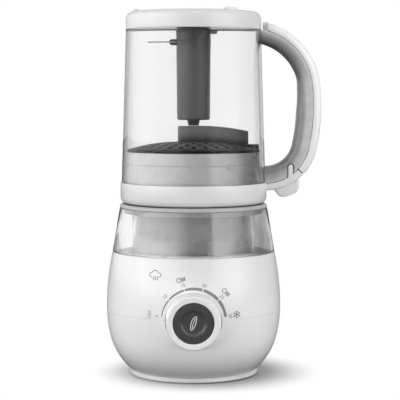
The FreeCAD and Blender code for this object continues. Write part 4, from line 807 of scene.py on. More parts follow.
def make_jar():
    corner = 7.0
    inside = jar_radius(JAR_FLOOR - corner) - JAR_WALL
    jar = lathe([
        (JAR_MOUTH[0] - JAR_WALL, 158.2, 0.4),
        (60.6, 158.2, 0.4),
        (60.6, JAR_MOUTH[1]),
        (JAR_MOUTH[0], JAR_MOUTH[1], 0.6),
        (JAR_TOP[0], JAR_TOP[1], 0.7),
        (55.2, JAR_TOP[1], 0.4),
        (55.2, JAR_END, 0.6),
        (BUSH_RADIUS, JAR_END),
        (BUSH_RADIUS, JAR_FLOOR),
        (inside - corner, JAR_FLOOR),
        Bow(corner, -1, 12),
        (inside, JAR_FLOOR - corner),
        (JAR_MOUTH[0] - JAR_WALL, JAR_MOUTH[1]),
    ])
    piece("jar_glass", jar, "jar", "clear_plastic", ["jar"])
    bush = tube(SHAFT_BORE, BUSH_RADIUS, BUSH_FOOT, 302.8, TUBE_STEPS, (0, 0, 0.4, 0.3))
    piece("bush_ring", bush, "jar", "bronze", ["spindle_bush"])
    seal = tube(SHAFT_BORE, BUSH_RADIUS, JAR_FLOOR, BUSH_FOOT, TUBE_STEPS)
    piece("bush_seal", seal, "jar", "silicone", ["spindle_seal"])


def make_cap():
    cap = lathe([
        (55.5, JAR_TOP[1] + 0.15),
        (57.9, JAR_TOP[1] + 0.15, 0.3),
        (57.9, 310, 6.0),
        (20, 310, 1.0),
        (20, JAR_END),
        (22.5, JAR_END),
        (22.5, 306.5),
        (55.5, 306.5),
    ])
    lugs = []
    for degrees in (-52, 68, 188):
        lugs.append(moved(prism(oblong(48, 52, -6, 6, 1.2), 308, 312, 0.5), degrees=degrees))
    piece("cap_shell", joined([cap] + lugs), "jar", "white_plastic", ["jar_cap"])


# Handle

SIDE_BEND = 165.7
TOP_BEND = 54.2
LOW_BEND = 37.4
TOP_TURN = 6.23
LOW_TURN = -12.5
HANDLE_REACH = 102.6
HANDLE_MIDDLE = 229.7
HALF_DEPTH = 10.5
GRIP_THICKNESS = 14.2
GRIP_TRIM = 2.6
PIN_LEFT = 81.0
PIN_RIGHT = 85.0
PIN_TOP = 180.4
PIN_FORWARD = -3.6


def bend_centre(bend, turn):
    """Centre of a bend that runs on smoothly from the side bend."""
    return Vector((HANDLE_REACH - SIDE_BEND, HANDLE_MIDDLE)) + polar(SIDE_BEND - bend, turn)


SIDE_CENTRE = bend_centre(SIDE_BEND, 0)
TOP_CENTRE = bend_centre(TOP_BEND, TOP_TURN)
LOW_CENTRE = bend_centre(LOW_BEND, LOW_TURN)


def bend_point(centre, reach, degrees):
    return centre + polar(reach, degrees)


def meeting_angle(centre, reach, start, end, radius_at):
    """Angle between start and end at which a bend comes down to a given radius from the axis."""
    for _ in range(40):
        middle = (start + end) / 2
        point = bend_point(centre, reach, middle)
        if point.x > radius_at(point.y):
            start = middle
        else:
            end = middle
    return (start + end) / 2


def top_angle(x, reach):
    """Angle on the top bend at which it comes to a distance from the axis."""
    return math.degrees(math.acos((x - TOP_CENTRE.x) / reach))


def handle_station(share, offset, top, low):
    """A point of the handle at a share of its length, moved out from the joint by an offset."""
    stretches = (
        (0.0, 0.4, TOP_CENTRE, TOP_BEND, top, TOP_TURN),
        (0.4, 0.62, SIDE_CENTRE, SIDE_BEND, TOP_TURN, LOW_TURN),
        (0.62, 1.0, LOW_CENTRE, LOW_BEND, LOW_TURN, low),
    )
    for begin, finish, centre, bend, first, last in stretches:
        if share <= finish or finish == 1.0:
            part = (share - begin) / (finish - begin)
            return bend_point(centre, bend + offset, first + (last - first) * part)


def low_station(share, offset, first, last):
    """A point on the low bend alone."""
    return bend_point(LOW_CENTRE, LOW_BEND + offset, first + (last - first) * share)


def swept(section, ends, steps, station):
    """A closed mesh swept along the handle: section corners are offset and sideways distance."""
    bm = bmesh.new()
    rings = []
    for step in range(steps + 1):
        ring = []
        for offset, side in section:
            first, last = ends(offset)
            point = station(step / steps, offset, first, last)
            reach = math.sqrt(max(point.x ** 2 - side ** 2, 0))
            ring.append(bm.verts.new((reach, side, point.y)))
        rings.append(ring)
    return skinned(bm, rings)


def jar_ends(offset):
    """Angles at which a strip of the handle meets the jar's wall."""
    top = meeting_angle(TOP_CENTRE, TOP_BEND + offset, TOP_TURN, 100, jar_radius)
    low = meeting_angle(LOW_CENTRE, LOW_BEND + offset, LOW_TURN, -110, jar_radius)
    return top, low


def grip_offset(offset, share):
    """The grip is thinner at the top bend and grows to its full thickness down the side."""
    grown = limited((share - 0.34) / 0.16)
    return offset * (1 - GRIP_TRIM / GRIP_THICKNESS * (1 - grown))


# Painted shade of the grip by the distance from its cover, and by height how much of the second one shows
GRIP_ON_SIDE = ((-14.2, 0.36), (-11, 0.32), (-9, 0.36), (-6, 0.66), (0, 0.64))
GRIP_ON_BEND = ((-14.2, 0.18), (-10, 0.19), (-6, 0.27), (-3, 0.48), (-0.5, 0.74))
GRIP_BENT = ((165, 0.6), (200, 0.0), (245, 0.0), (270, 1.0))
TOP_JOIN = bend_point(TOP_CENTRE, TOP_BEND - 6, TOP_TURN).y
LOW_JOIN = bend_point(LOW_CENTRE, LOW_BEND - 6, LOW_TURN).y


def handle_depth(graph, place, height):
    """Distance out from the handle's joint line, so that it is below zero in the grip."""
    flat = graph.add("VectorMath", {0: place, 1: (1, 0, 1)}, operation="MULTIPLY")["Vector"]
    depths = []
    for centre, bend in ((SIDE_CENTRE, SIDE_BEND), (TOP_CENTRE, TOP_BEND), (LOW_CENTRE, LOW_BEND)):
        middle = (centre.x * MM, 0, centre.y * MM)
        reach = graph.add("VectorMath", {0: flat, 1: middle}, operation="DISTANCE")["Value"]
        depths.append(graph.number("SUBTRACT", reach, bend * MM))
    depth, top, low = depths
    depth = chosen(graph, graph.number("GREATER_THAN", height, TOP_JOIN * MM), depth, top)
    return chosen(graph, graph.number("LESS_THAN", height, LOW_JOIN * MM), depth, low)


def smoky(name, roughness):
    """Cloudy moulded plastic of the grip, with painted shade: pale beside the cover, and darker away from it
    and round the bends.
    """
    look = Look(name)
    place = look.add("TexCoord")["Object"]
    height = look.add("SeparateXYZ", {"Vector": place})["Z"]
    depth = handle_depth(look, place, height)
    # Painted shade across the grip, darker round the bends.
    shade = look.add("Mix", {
        "Factor": ramped(look, height, GRIP_BENT),
        FIRST_COLOUR: ramped(look, depth, GRIP_ON_SIDE),
        SECOND_COLOUR: ramped(look, depth, GRIP_ON_BEND),
    }, data_type="RGBA")[MIXED_COLOUR]
    clouds = spread(look, surface_noise(look, 90, 3.0), 0.90, 1.10)
    gloss = surface_noise(look, 80, 3.0)
    return look.shade({
        "Base Color": multiplied(look, shade, clouds),
        "Roughness": spread(look, gloss, roughness * 0.85, roughness * 1.15),
        "Coat Weight": 0.4,
        "Coat Roughness": 0.15,
    })


def make_grip():
    depth = GRIP_THICKNESS
    wall = 2.4
    inner_half = HALF_DEPTH - wall
    section = trace([
        (0, -HALF_DEPTH, 0.8), (-depth, -HALF_DEPTH, 6.0), (-depth, HALF_DEPTH, 6.0), (0, HALF_DEPTH, 0.8),
        (0, inner_half), (wall - depth, inner_half, 0.6), (wall - depth, -inner_half, 0.6), (0, -inner_half),
    ])

    def station(share, offset, top, low):
        return handle_station(share, grip_offset(offset, share), top, low)

    def ends(offset):
        top, _ = jar_ends(grip_offset(offset, 0))
        _, low = jar_ends(offset)
        return top, low

    gap = 0.9
    left, right, top = PIN_LEFT - gap, PIN_RIGHT + gap, PIN_TOP + gap
    round_end = (right - left) / 2 - 0.01
    slot = trace([(left, 150), (right, 150), (right, top, round_end), (left, top, round_end)])
    grip = cut(swept(section, ends, 90, station), moved(side_prism(slot, 14.4), y=PIN_FORWARD))
    piece("grip_channel", grip, "jar", "smoke_plastic", ["handle_grip"], smoky("grip_moulding", 0.32))


def make_cover():
    thickness = 6.8
    edge = 5.0
    end = -41.9
    section = trace([
        (0.1, -HALF_DEPTH, 0.8), (0.1, HALF_DEPTH, 0.8),
        (thickness, HALF_DEPTH, edge), (thickness, -HALF_DEPTH, edge),
    ])

    def ends(offset):
        return top_angle(64, TOP_BEND + offset), end

    cover = swept(section, ends, 100, handle_station)
    piece("handle_spine", cover, "jar", "white_plastic", ["handle_cover"], LID_LOOK)
    inside = HALF_DEPTH - 0.35
    line = trace([(-0.35, -inside), (-0.35, inside), (0.45, inside), (0.45, -inside)])
    piece("handle_seam", swept(line, ends, 100, handle_station), "jar", "dark_plastic")
    inside = HALF_DEPTH - 1.0
    step = trace([
        (1.0, -inside), (1.0, inside), (thickness - 1, inside, edge - 1), (thickness - 1, -inside, edge - 1),
    ])
    plug = swept(step, lambda offset: (end + 1, -43.15), 6, low_station)
    piece("cover_end", plug, "jar", "dark_plastic")


def make_rod():
    """The push rod inside the grip, with its tip beside the cap."""
    top_inset = 2.4
    low_inset = 5.45
    thick = 3.2
    half = 3.5
    section = trace([(0, -half, 0.6), (0, half, 0.6), (-thick, half, 0.6), (-thick, -half, 0.6)])

    def station(share, offset, top, low):
        inset = top_inset + (low_inset - top_inset) * limited((share - 0.4) / 0.22)
        return handle_station(share, offset - inset, top, low)

    def ends(offset):
        return top_angle(60.2, TOP_BEND - top_inset + offset), -43.95

    tip = prism(oblong(59.6, 63.6, -7.8, 7.8, 0.6), 287.5, 301.6, 0.5)
    rod = fused(swept(section, ends, 80, station), tip)
    piece("push_rod", rod, "interlock", "white_plastic", ["interlock_rod"], LID_LOOK)


# Lid

LID_BOTTOM = 147.3
LID_RADIUS = 62.8
LID_FLOOR = 157.4
CUP_RADIUS = 57.0               # where the collar stands in the lid
CUP_BOTTOM = 150.0
COLLAR_TOP = 191.5
COLLAR_LOW_RADIUS = 58.3
COLLAR_TOP_RADIUS = 56.9


def make_lid():
    ring = lathe([
        (CUP_RADIUS, LID_BOTTOM, 0.4),
        (LID_RADIUS, LID_BOTTOM, 5.0),
        (LID_RADIUS, 165, 0.5),
        (60.9, 165),
        (60.9, LID_FLOOR),
        (CUP_RADIUS, LID_FLOOR),
    ])
    near, far = 0.4, 6.4
    half = 10.2
    edge = 2.2
    start = -43.3
    section = trace([(near, -half, 0.4), (near, half, 0.4), (far, half, edge), (far, -half, edge)])

    def ends(offset):
        return start, meeting_angle(LOW_CENTRE, LOW_BEND + offset, start, -110, lambda height: 61.8)

    arm = swept(section, ends, 40, low_station)
    tab = side_prism(trace([
        (68.0, 159.8), (74.0, 152.3, 3.6), (79.5, 152.3, 3.0), (88.4, 155.8, 3.2), (91.0, 160.2, 3.0),
        (91.0, 171.0), (80.0, 164.5), (70.0, 160.6),
    ]), 7.0, 1.4)
    pin = side_prism(trace([
        (PIN_LEFT, 166.5), (PIN_RIGHT, 166.5), (PIN_RIGHT, PIN_TOP, 1.99), (PIN_LEFT, PIN_TOP, 1.99),
    ]), 13.0, 0.4)
    lid = fused(ring, arm, tab, moved(pin, y=PIN_FORWARD))
    piece("lid_ring", lid, "lid", "white_plastic", ["jar_lid"], LID_LOOK)


def collar_radius(height):
    share = (height - LID_FLOOR) / (COLLAR_TOP - LID_FLOOR)
    return COLLAR_LOW_RADIUS + (COLLAR_TOP_RADIUS - COLLAR_LOW_RADIUS) * share


def make_collar():
    line = 181.0
    collar = lathe([
        (CUP_RADIUS, CUP_BOTTOM, 0.4),
        (CUP_RADIUS, LID_FLOOR),
        (COLLAR_LOW_RADIUS, LID_FLOOR),
        (collar_radius(line - 0.35), line - 0.35),
        (collar_radius(line) - 0.3, line),
        (collar_radius(line + 0.35), line + 0.35),
        (COLLAR_TOP_RADIUS, COLLAR_TOP - 0.05, 0.4),
        (54.9, COLLAR_TOP - 0.05, 0.3),
        (54.9, 152.5, 1.0),
        (20.5, 152.5, 1.0),
        (20.5, 165.5, 2.0),
        (0, 165.5),
        (0, 163.5),
        (18.5, 163.5, 1.0),
        (18.5, CUP_BOTTOM, 0.5),
    ])
    collar = cut(collar, moved(tube(0, 7, 148, 155, TUBE_STEPS), STEAM_X))
    piece("collar_cup", collar, "lid", "grey_plastic", ["lid_collar"], COLLAR_LOOK)
    dome = [(0, -1.0), (1, -1.0), (1, 0.0), (0.93, 0.35), (0.75, 0.6), (0.45, 0.75), (0, 0.8)]
    bump = lathe(dome, ROD_STEPS)
    bmesh.ops.scale(bump, vec=(3.7, 2.6, 0.5), verts=bump.verts)
    height = 180
    reach = collar_radius(height)
    turn = Matrix.Rotation(math.asin(30 / reach), 4, "Z")
    lay = Matrix.Rotation(math.radians(90), 4, "X")
    placed(bump, turn @ Matrix.Translation((0, -reach - 0.02, height)) @ lay)
    piece("collar_bump", bump, "lid", "grey_plastic", look=COLLAR_LOOK)
    inlet = tube(4.5, 7, 147.5, 186.2, TUBE_STEPS, (0, 0.4, 0.6, 0.6))
    piece("inlet_tube", moved(inlet, STEAM_X), "lid", "grey_plastic", ["steam_inlet"])
    seal = tube(58.5, 60.7, LID_FLOOR + 0.02, 158.0, rounds=(0, 0, 0.2, 0.2))
    piece("lid_gasket", seal, "lid", "silicone", ["lid_seal"])


HOOD_RADIUS = 13.4
HOOD_END = 46.4
HOOD_TOP = 213.4
HOOD_END_TOP = 209.2
STRAINER_DOME = 140.0
DOME_DOWN, DOME_UP = -1, 1


def hood(inset, low):
    """The steam hood over the inlet: a rounded plan under a gently arched, sloping top."""
    radius = HOOD_RADIUS - inset
    end = HOOD_END - inset
    top = HOOD_TOP - inset
    end_top = HOOD_END_TOP - inset
    plan = trace([(0, -radius), (end, -radius, 2.5), (end, radius, 2.5), (0, radius), Bow(radius, 1, 40)])
    side = trace([(-20, low - 1), (60, low - 1), (60, end_top - 2.2), (end, end_top), Bow(190, 1, 16),
                  (0, top), (-20, top)])
    return boolean(prism(plan, low, 230), side_prism(side, 60), "INTERSECT")


def sieve():
    """Rows of short slots that point to the middle, left out beside and under the hood."""
    holes = []
    for row in range(4):
        radius = 21 + 8.6 * row
        count = 6 * (row + 2)
        for number in range(count):
            degrees = (number + 0.5) * 360 / count
            x, y = polar(radius, degrees)
            if x > 0 and abs(y) < HOOD_RADIUS + 2.6:
                continue
            holes.append(moved(prism(oblong(-3.3, 3.3, -1.9, 1.9, 1.8), 186, 215), x, y, 0, degrees))
    return joined(holes)


def make_strainer():
    disc = lathe([
        (0, 198.3),
        (HOOD_RADIUS, 198.3),
        Bow(STRAINER_DOME, DOME_DOWN, 12),
        (52.7, COLLAR_TOP),
        (52.7, 186.5),
        (54.7, 186.5),
        (54.7, COLLAR_TOP),
        (COLLAR_TOP_RADIUS, COLLAR_TOP, 0.3),
        (COLLAR_TOP_RADIUS, COLLAR_TOP + 2),
        Bow(STRAINER_DOME, DOME_UP, 12),
        (HOOD_RADIUS, 200.3),
        (0, 200.3),
    ])
    step = prism(trace([(44, -10), (55.6, -10, 2), (55.6, 10, 2), (44, 10)]), COLLAR_TOP, 198.1, 0.8)
    strainer = cut(fused(cut(disc, sieve()), hood(0, 187), step), hood(2.0, 180))
    nodes = ["strainer", "steam_hood"]
    piece("strainer_plate", strainer, "lid", "dark_plastic", nodes, STRAINER_LOOK, sharp=30)


# Blade unit

LOW_CARRIER, HIGH_CARRIER = 280.9, 290.2
CARRIER_HEIGHT = 5.0
HUB_TOP = 298.2
SPINDLE_FOOT = 247.0
LOW_BLADE, HIGH_BLADE = (283.0, 0), (293.0, 180)   # underside and turn
BLADE_SPINE = -4.2


def make_hub():
    hub = lathe([
        (SHAFT_RADIUS, HUB_TOP),
        (6.5, HUB_TOP),
        (6.5, 224),
        (11.6, 224),
        (12.3, HUB_TOP),
        (14.8, HUB_TOP, 0.4),
        (14.1, 218.6, 1.6),
        (5.6, 218.6),
        (4.4, 213.9, 0.6),
        (0, 213.9),
        (0, SPINDLE_FOOT),
        (SHAFT_RADIUS, SPINDLE_FOOT),
    ], SMALL_STEPS)
    for bottom, degrees in ((LOW_CARRIER, 180), (HIGH_CARRIER, 0)):
        plan = trace([(12.9, -8), (20.5, -8, 2.4), (20.5, 8, 2.4), (12.9, 8)])
        hub = fused(hub, moved(prism(plan, bottom, bottom + CARRIER_HEIGHT, 1.9), degrees=degrees))
    for outer, degrees in ((16.0, 0), (14.9, 180)):
        hub = fused(hub, moved(carrier_band(outer), degrees=degrees))
    hub = cut(hub, blade(*LOW_BLADE), blade(*HIGH_BLADE))
    piece("hub_tube", hub, "blade", "dark_plastic", ["blade_hub", "blade_carriers"])


def carrier_band(outer):
    """The raised band on the hub that climbs from the lower carrier to the upper one."""
    inner = 13.2
    path = ((180, LOW_CARRIER), (210, LOW_CARRIER), (250, LOW_CARRIER), (268, 281.5), (300, 287.4),
            (318, 290.0), (330, HIGH_CARRIER), (360, HIGH_CARRIER))
    bm = bmesh.new()
    rings = []
    for (start, low), (end, high) in zip(path, path[1:]):
        steps = max(2, round((end - start) / 5))
        last = steps + 1 if end == path[-1][0] else steps
        for step in range(last):
            share = step / steps
            across = polar(1, start + (end - start) * share).to_3d()
            bottom = low + (high - low) * share
            top = bottom + CARRIER_HEIGHT
            corners = ((inner, bottom), (outer, bottom), (outer, top), (inner, top))
            points = [across * radius + Vector((0, 0, height)) for radius, height in corners]
            rings.append([bm.verts.new(point) for point in points])
    return skinned(bm, rings)


def blade(bottom, degrees):
    """A sickle blade that starts before the hub, ground thin towards its edge."""
    root = [(-3.2, -16.6), (-8, -12), (-13, -4), (-20, -4.5)]
    plan = trace(root + [Bow(60, -1, 16), (-39, -3.6), Bow(46, 1, 20)])
    bm = prism(plan, bottom, bottom + 1.0)
    for vert in bm.verts:
        ground = limited((-14 - vert.co.x) / 8)
        if vert.co.z < bottom + 0.5:
            vert.co.y += (BLADE_SPINE - vert.co.y) * 0.7 * ground
    return moved(bm, degrees=degrees)


def make_blades():
    piece("blade_low", blade(*LOW_BLADE), "blade", "steel", ["lower_blade"], BLADE_LOOK)
    piece("blade_high", blade(*HIGH_BLADE), "blade", "steel", ["upper_blade"], BLADE_LOOK)
    spindle = tube(0, SHAFT_RADIUS, SPINDLE_FOOT, 307, ROD_STEPS, (0, 0, 0.6, 0))
    piece("spindle_rod", spindle, "blade", "steel", ["blade_spindle"])
    piece("driven_teeth", drive_half(303, 308, 4), "blade", "dark_plastic", ["driven_coupling"])


# Printed marks

MARK_LIFT = 0.06
PRINT_THICKNESS = 0.05
MARK_ANGLES = (173.4, 140.0, 106.6, 73.2, 39.8, 6.4)
MARK_WORDS = ("0", "10", "15", "20", "25", "30")
WORD_HEIGHT = 2.8
SCALE_RADIUS = 26.3
NUMBER_RADIUS = 30.2
OFF_RADIUS = 36.2
SIGN_RADIUS = 35.0
FLAKE_PLACE = (35.6, 6.7)       # radius and degrees
SCALE_GAP = 0.9
# Degrees round the dial and thickness of the arc
SCALE_WIDTHS = ((175, 0.8), (140, 1.2), (107, 1.8), (88, 2.4), (60, 2.6), (40, 2.4), (5, 2.1))


def on_housing(x, z, lift):
    radius = housing_radius(z) + lift
    return Vector((x, -math.sqrt(radius ** 2 - x ** 2), z))


def on_button(x, z, lift):
    """A point on the floor of the button's dish."""
    return Vector((x, BUTTON_FRONT + DISH_DEPTH - lift, z))


def printed(name, bm, body="base", look=PRINT, onto=on_housing):
    """Wrap a flat drawing of x and z, a plate with its face at depth 0, on to a surface."""
    for vert in bm.verts:
        lift = MARK_LIFT if vert.co.y < 0 else MARK_LIFT - PRINT_THICKNESS
        vert.co = onto(vert.co.x, vert.co.z, lift)
    bmesh.ops.recalc_face_normals(bm, faces=bm.faces)
    return piece(name, bm, body, "grey_plastic", look=look)


def band(points, width, closed=False):
    """A thin plate along a line of points in x and z."""
    bm = bmesh.new()
    count = len(points)
    rings = []
    for index, point in enumerate(points):
        before = points[index - 1] if index or closed else point
        after = points[(index + 1) % count] if index < count - 1 or closed else point
        along = (after - before).normalized()
        across = Vector((-along.y, along.x)) * (width(index) if callable(width) else width) / 2
        left, right = point + across, point - across
        corners = ((left, -1), (right, -1), (right, 1), (left, 1))
        rings.append([bm.verts.new((corner.x, depth, corner.y)) for corner, depth in corners])
    return skinned(bm, rings, closed)


def dial_point(radius, degrees):
    return Vector((0, DIAL_HEIGHT)) + polar(radius, degrees)


def scale_width(degrees):
    """Thickness of the printed arc at an angle round the dial."""
    for (far, wide), (near, next_wide) in zip(SCALE_WIDTHS, SCALE_WIDTHS[1:]):
        if degrees >= near:
            return wide + (next_wide - wide) * (far - degrees) / (far - near)
    return SCALE_WIDTHS[-1][1]


def make_scale():
    """The arc round the dial, which grows thicker with the time, in five stretches."""
    strips = []
    steps = 14
    for number in range(len(MARK_ANGLES) - 1):
        start = MARK_ANGLES[number] - SCALE_GAP * (number > 0)
        end = MARK_ANGLES[number + 1] + SCALE_GAP * (number < len(MARK_ANGLES) - 2)
        angles = [start + (end - start) * step / steps for step in range(steps + 1)]
        points = [dial_point(SCALE_RADIUS, degrees) for degrees in angles]
        strips.append(band(points, lambda index, angles=angles: scale_width(angles[index])))
    printed("scale_arc", joined(strips))


def lettering(word, at, degrees):
    """Flat letters centred on a point, turned by an angle."""
    curve = bpy.data.curves.new("word", "FONT")
    curve.body = word
    curve.align_x = "CENTER"
    curve.align_y = "CENTER"
    curve.size = WORD_HEIGHT / 0.7
    curve.extrude = 1.0
    curve.resolution_u = 3
    thing = linked("word", curve)
    bpy.context.view_layer.update()
    mesh = bpy.data.meshes.new_from_object(thing.evaluated_get(bpy.context.evaluated_depsgraph_get()))
    bpy.data.objects.remove(thing)
    bpy.data.curves.remove(curve)
    bm = bmesh.new()
    bm.from_mesh(mesh)
    bpy.data.meshes.remove(mesh)
    bmesh.ops.remove_doubles(bm, verts=bm.verts, dist=1e-5)
    turn = Matrix.Rotation(math.radians(-degrees), 4, "Y")
    return placed(bm, Matrix.Translation((at.x, 0, at.y)) @ turn @ STANDING)


def make_numbers():
    words = []
    for word, degrees in zip(MARK_WORDS, MARK_ANGLES):
        words.append(lettering(word, dial_point(NUMBER_RADIUS, degrees), degrees - 90))
    words.append(lettering("OFF", dial_point(OFF_RADIUS, MARK_ANGLES[0]), MARK_ANGLES[0] - 90))
    printed("scale_numbers", joined(words))


def circle_points(centre, radius, steps=20, start=0, sweep=360):
    count = steps if sweep == 360 else steps + 1
    return [centre + polar(radius, start + sweep * step / steps) for step in range(count)]


def make_pictograms():
    """Plain signs of steam, food and frozen food round the scale."""
    line = 0.55
    cloud = Vector((-31.3, 93.2))
    puffs = []
    for offset, radius, start, sweep in (((-2.9, -0.5), 1.8, 80, 195), ((0.0, 1.0), 2.3, 12, 156),
                                         ((2.9, -0.4), 1.75, -90, 190)):
        puffs.append(band(circle_points(cloud + Vector(offset), radius, 16, start, sweep), line))
    for x in (-1.4, 0.2, 1.8):
        points = [cloud + Vector((x + 0.3 * math.sin(step * 1.3), -1.6 - 0.5 * step)) for step in range(7)]
        puffs.append(band(points, line))
    printed("steam_sign", joined(puffs), look=DARK_PRINT)
    signs = []
    for degrees in (107.0, 41.0):
        centre = dial_point(SIGN_RADIUS, degrees)
        along = polar(1, degrees - 90)
        across = Vector((-along.y, along.x)) * 1.6
        signs.append(band(circle_points(centre - along * 1.8, 1.7), 0.5, True))
        for step in (0.8, 2.0, 3.2):
            middle = centre + along * step
            signs.append(band([middle - across, middle + across], 0.7))
    flake = dial_point(*FLAKE_PLACE)
    for turn in range(3):
        arm = polar(3.0, 60 * turn + 30)
        signs.append(band([flake - arm, flake + arm], 0.5))
        for end in (-1, 1):
            tip = flake + arm * end * 0.66
            for swing in (-55, 55):
                twig = Matrix.Rotation(math.radians(swing), 2) @ arm * end * 0.34
                signs.append(band([tip, tip + twig], 0.45))
    printed("food_signs", joined(signs), look=DARK_PRINT)


def make_button_sign():
    """A plain outline of a blade on the button."""
    outer = ((-2.2, -5.9), (-2.5, -1.8), (-1.3, 2.6), (0.9, 5.1),
             (2.6, 5.9), (2.4, 2.0), (1.2, -2.2), (-0.8, -5.0))
    ridge = ((-1.2, -3.8), (-0.5, -0.5), (0.6, 1.9), (1.5, 4.0))
    outer, ridge = [[Vector((x, DIAL_HEIGHT + z)) for x, z in line] for line in (outer, ridge)]
    smooth = []
    for index, point in enumerate(outer):
        after = outer[(index + 1) % len(outer)]
        smooth += [point.lerp(after, 0.25), point.lerp(after, 0.75)]
    lines = [band(smooth, 0.55, True), band(ridge, 0.5)]
    printed("blade_sign", joined(lines), "button", WHITE_PRINT, on_button)


# Inner pieces keep their CAD shapes and get the same materials


def dress_inner_nodes():
    slots = {entry["node"]: entry["material_slot"] for entry in frame["record"]["subparts"]}
    for name, thing in frame["nodes"].items():
        thing.data.materials.clear()
        thing.data.materials.append(LOOKS[slots[name]].material)


# Stage

# Grey of the floor near the object: a painted shadow, on which the lamps' own shadows also fall.
FLOOR_SHADOW_GREY = (0.56, 0.56, 0.56, 1)
FLOOR_BOUNCE = (0.04, 0.04, 0.04, 1)   # what other surfaces see of the floor
# The painted shadow fades out between these distances.
FADE_START, FADE_END = 0.045, 0.097    # metres from the middle at which the floor turns white
# Stretch and shift of the painted shadow, which lies a little to the right.
FADE_SCALE = (0.95, 1.0, 1.0)
FADE_SHIFT = (-0.010, 0.0, 0.0)
AMBIENT = 0.40                  # light from all round on matt surfaces
BACK_DIRECTION = (0.14, 0.9902, 0.0)
BACK_START = 0.9                # how far round the white backdrop reaches
BACK_FULL = 0.98
TOP_GLOW = 1.2                  # what gloss mirrors from above
GLOW_MOST = 5.0
# What gloss mirrors all round: degrees to the right of the camera, and brightness
GLOW = ((-180, 0.5), (-150, 0.5), (-128, 1.1), (-102, 2.1), (-73, 3.8), (-49, 3.2), (-28, 2.2), (-7, 0.4),
        (26, 0.3), (31, 2.8), (57, 2.6), (72, 2.0), (86, 0.5), (113, 0.3), (150, 0.4), (170, 0.5), (180, 0.5))
# Lamps: degrees to the right of the camera, distance, height, width and height of the lamp, and radiance
LAMPS = {
    "left_box": (-62, 1.2, 0.16, 0.7, 0.28, 13.0),
    "near_left_box": (-28, 1.2, 0.16, 0.5, 0.28, 3.8),
    "right_box": (62, 1.2, 0.16, 0.65, 0.28, 15.5),
    "top_box": (0, 0.1, 1.35, 0.9, 0.9, 0.8),
    "back_left_box": (-128, 1.2, 0.35, 0.6, 0.6, 2.0),
    "back_right_box": (150, 1.2, 0.35, 0.6, 0.6, 2.6),
}
LAMP_AIM = (0, 0, 0.16)
PHOTO_WIDTH = 400
FOCAL_PIXELS = 1390
SENSOR = 36
CAMERA_PLACE = (0, -1.195, 0.2396)
CAMERA_DOWN = 4.32
CAMERA_TURN = -0.268


def make_floor():
    """A white floor that takes the object's shadow near it, with a grey patch painted round the object as a
    wider shadow, and fades to plain white further out.
    """
    bm = bmesh.new()
    bmesh.ops.create_grid(bm, x_segments=1, y_segments=1, size=6)
    mesh = bpy.data.meshes.new("floor")
    bm.to_mesh(mesh)
    bm.free()
    floor = linked("floor", mesh)
    material = bpy.data.materials.new("floor_white")
    graph = Graph(material)
    graph.nodes.remove(graph.nodes["Principled BSDF"])
    matt = graph.add("BsdfDiffuse", {"Color": FLOOR_SHADOW_GREY})["BSDF"]
    dull = graph.add("BsdfDiffuse", {"Color": FLOOR_BOUNCE})["BSDF"]
    white = graph.add("Emission", {"Strength": 1.0})["Emission"]
    place = graph.add("TexCoord")["Object"]
    inputs = {0: place, 1: FADE_SCALE, 2: FADE_SHIFT}
    shaped = graph.add("VectorMath", inputs, operation="MULTIPLY_ADD")["Vector"]
    length = graph.add("VectorMath", {0: shaped}, operation="LENGTH")["Value"]
    fade = eased(graph, length, FADE_START, FADE_END)
    # Painted shadow: lit grey floor near the object, plain white further out.
    shown = graph.add("MixShader", {"Fac": fade, 1: matt, 2: white})["Shader"]
    path = graph.add("LightPath")
    seen_directly = graph.number("MAXIMUM", path["Is Camera Ray"], path["Is Transmission Ray"])
    final = graph.add("MixShader", {"Fac": seen_directly, 1: dull, 2: shown})["Shader"]
    graph.fill(graph.nodes["Material Output"], {"Surface": final})
    mesh.materials.append(material)


def panel_glow(graph, x, y):
    """Brightness of the panels round the object, by direction."""
    around = graph.number("ARCTAN2", x, graph.number("MULTIPLY", y, -1.0))
    glow = ramped(graph, around, GLOW, math.radians(1), GLOW_MOST)
    return graph.number("MULTIPLY", glow, GLOW_MOST)


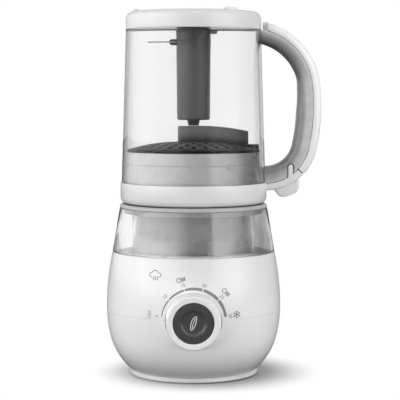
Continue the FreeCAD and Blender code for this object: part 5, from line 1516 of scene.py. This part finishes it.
def make_world():
    """White for the camera; a backdrop behind glass; bright panels left, right and above in gloss."""
    world = bpy.data.worlds.new("studio")
    bpy.context.scene.world = world
    graph = Graph(world)
    place = graph.add("TexCoord")["Generated"]
    split = graph.add("SeparateXYZ", {"Vector": place})
    lift = eased(graph, split["Z"], 0.45, 0.85)
    gloss = chosen(graph, lift, panel_glow(graph, split["X"], split["Y"]), TOP_GLOW)
    towards = graph.add("VectorMath", {0: place, 1: BACK_DIRECTION}, operation="DOT_PRODUCT")["Value"]
    seen_through = chosen(graph, eased(graph, towards, BACK_START, BACK_FULL), gloss, 1.0)
    path = graph.add("LightPath")
    mirrored = chosen(graph, path["Is Glossy Ray"], AMBIENT, gloss)
    bounced = chosen(graph, path["Is Transmission Ray"], mirrored, seen_through)
    shown = chosen(graph, path["Is Camera Ray"], bounced, 1.0)
    graph.fill(graph.nodes["Background"], {"Color": shown, "Strength": 1.0})


def make_lights():
    """Rectangular lamps round the object, all facing it."""
    for name, (azimuth, distance, height, width, tall, radiance) in LAMPS.items():
        lamp = bpy.data.lights.new(name, "AREA")
        lamp.shape = "RECTANGLE"
        lamp.size = width
        lamp.size_y = tall
        lamp.energy = radiance * math.pi * width * tall
        thing = linked(name, lamp)
        angle = math.radians(azimuth)
        thing.location = (distance * math.sin(angle), -distance * math.cos(angle), height)
        facing = Vector(LAMP_AIM) - thing.location
        thing.rotation_euler = facing.to_track_quat("-Z", "Y").to_euler()
        thing.visible_glossy = False
        thing.visible_transmission = False


def make_camera():
    camera = bpy.data.cameras.new("camera")
    camera.sensor_width = SENSOR
    camera.lens = FOCAL_PIXELS / PHOTO_WIDTH * SENSOR
    camera.clip_end = 20
    thing = linked("camera", camera)
    thing.location = CAMERA_PLACE
    thing.rotation_euler = (math.radians(90 - CAMERA_DOWN), 0, math.radians(CAMERA_TURN))
    bpy.context.scene.camera = thing


for make in (
    make_camera, dress_inner_nodes, make_housings, make_plate, make_gland,
    make_tank, make_deck, make_drive, make_dial, make_dial_seat, make_button, make_jar,
    make_cap, make_grip, make_cover, make_rod, make_lid, make_collar, make_strainer,
    make_hub, make_blades, make_scale, make_numbers, make_pictograms,
    make_button_sign, make_floor, make_world, make_lights,
):
    make()
bpy.context.scene.view_settings.view_transform = "Standard"
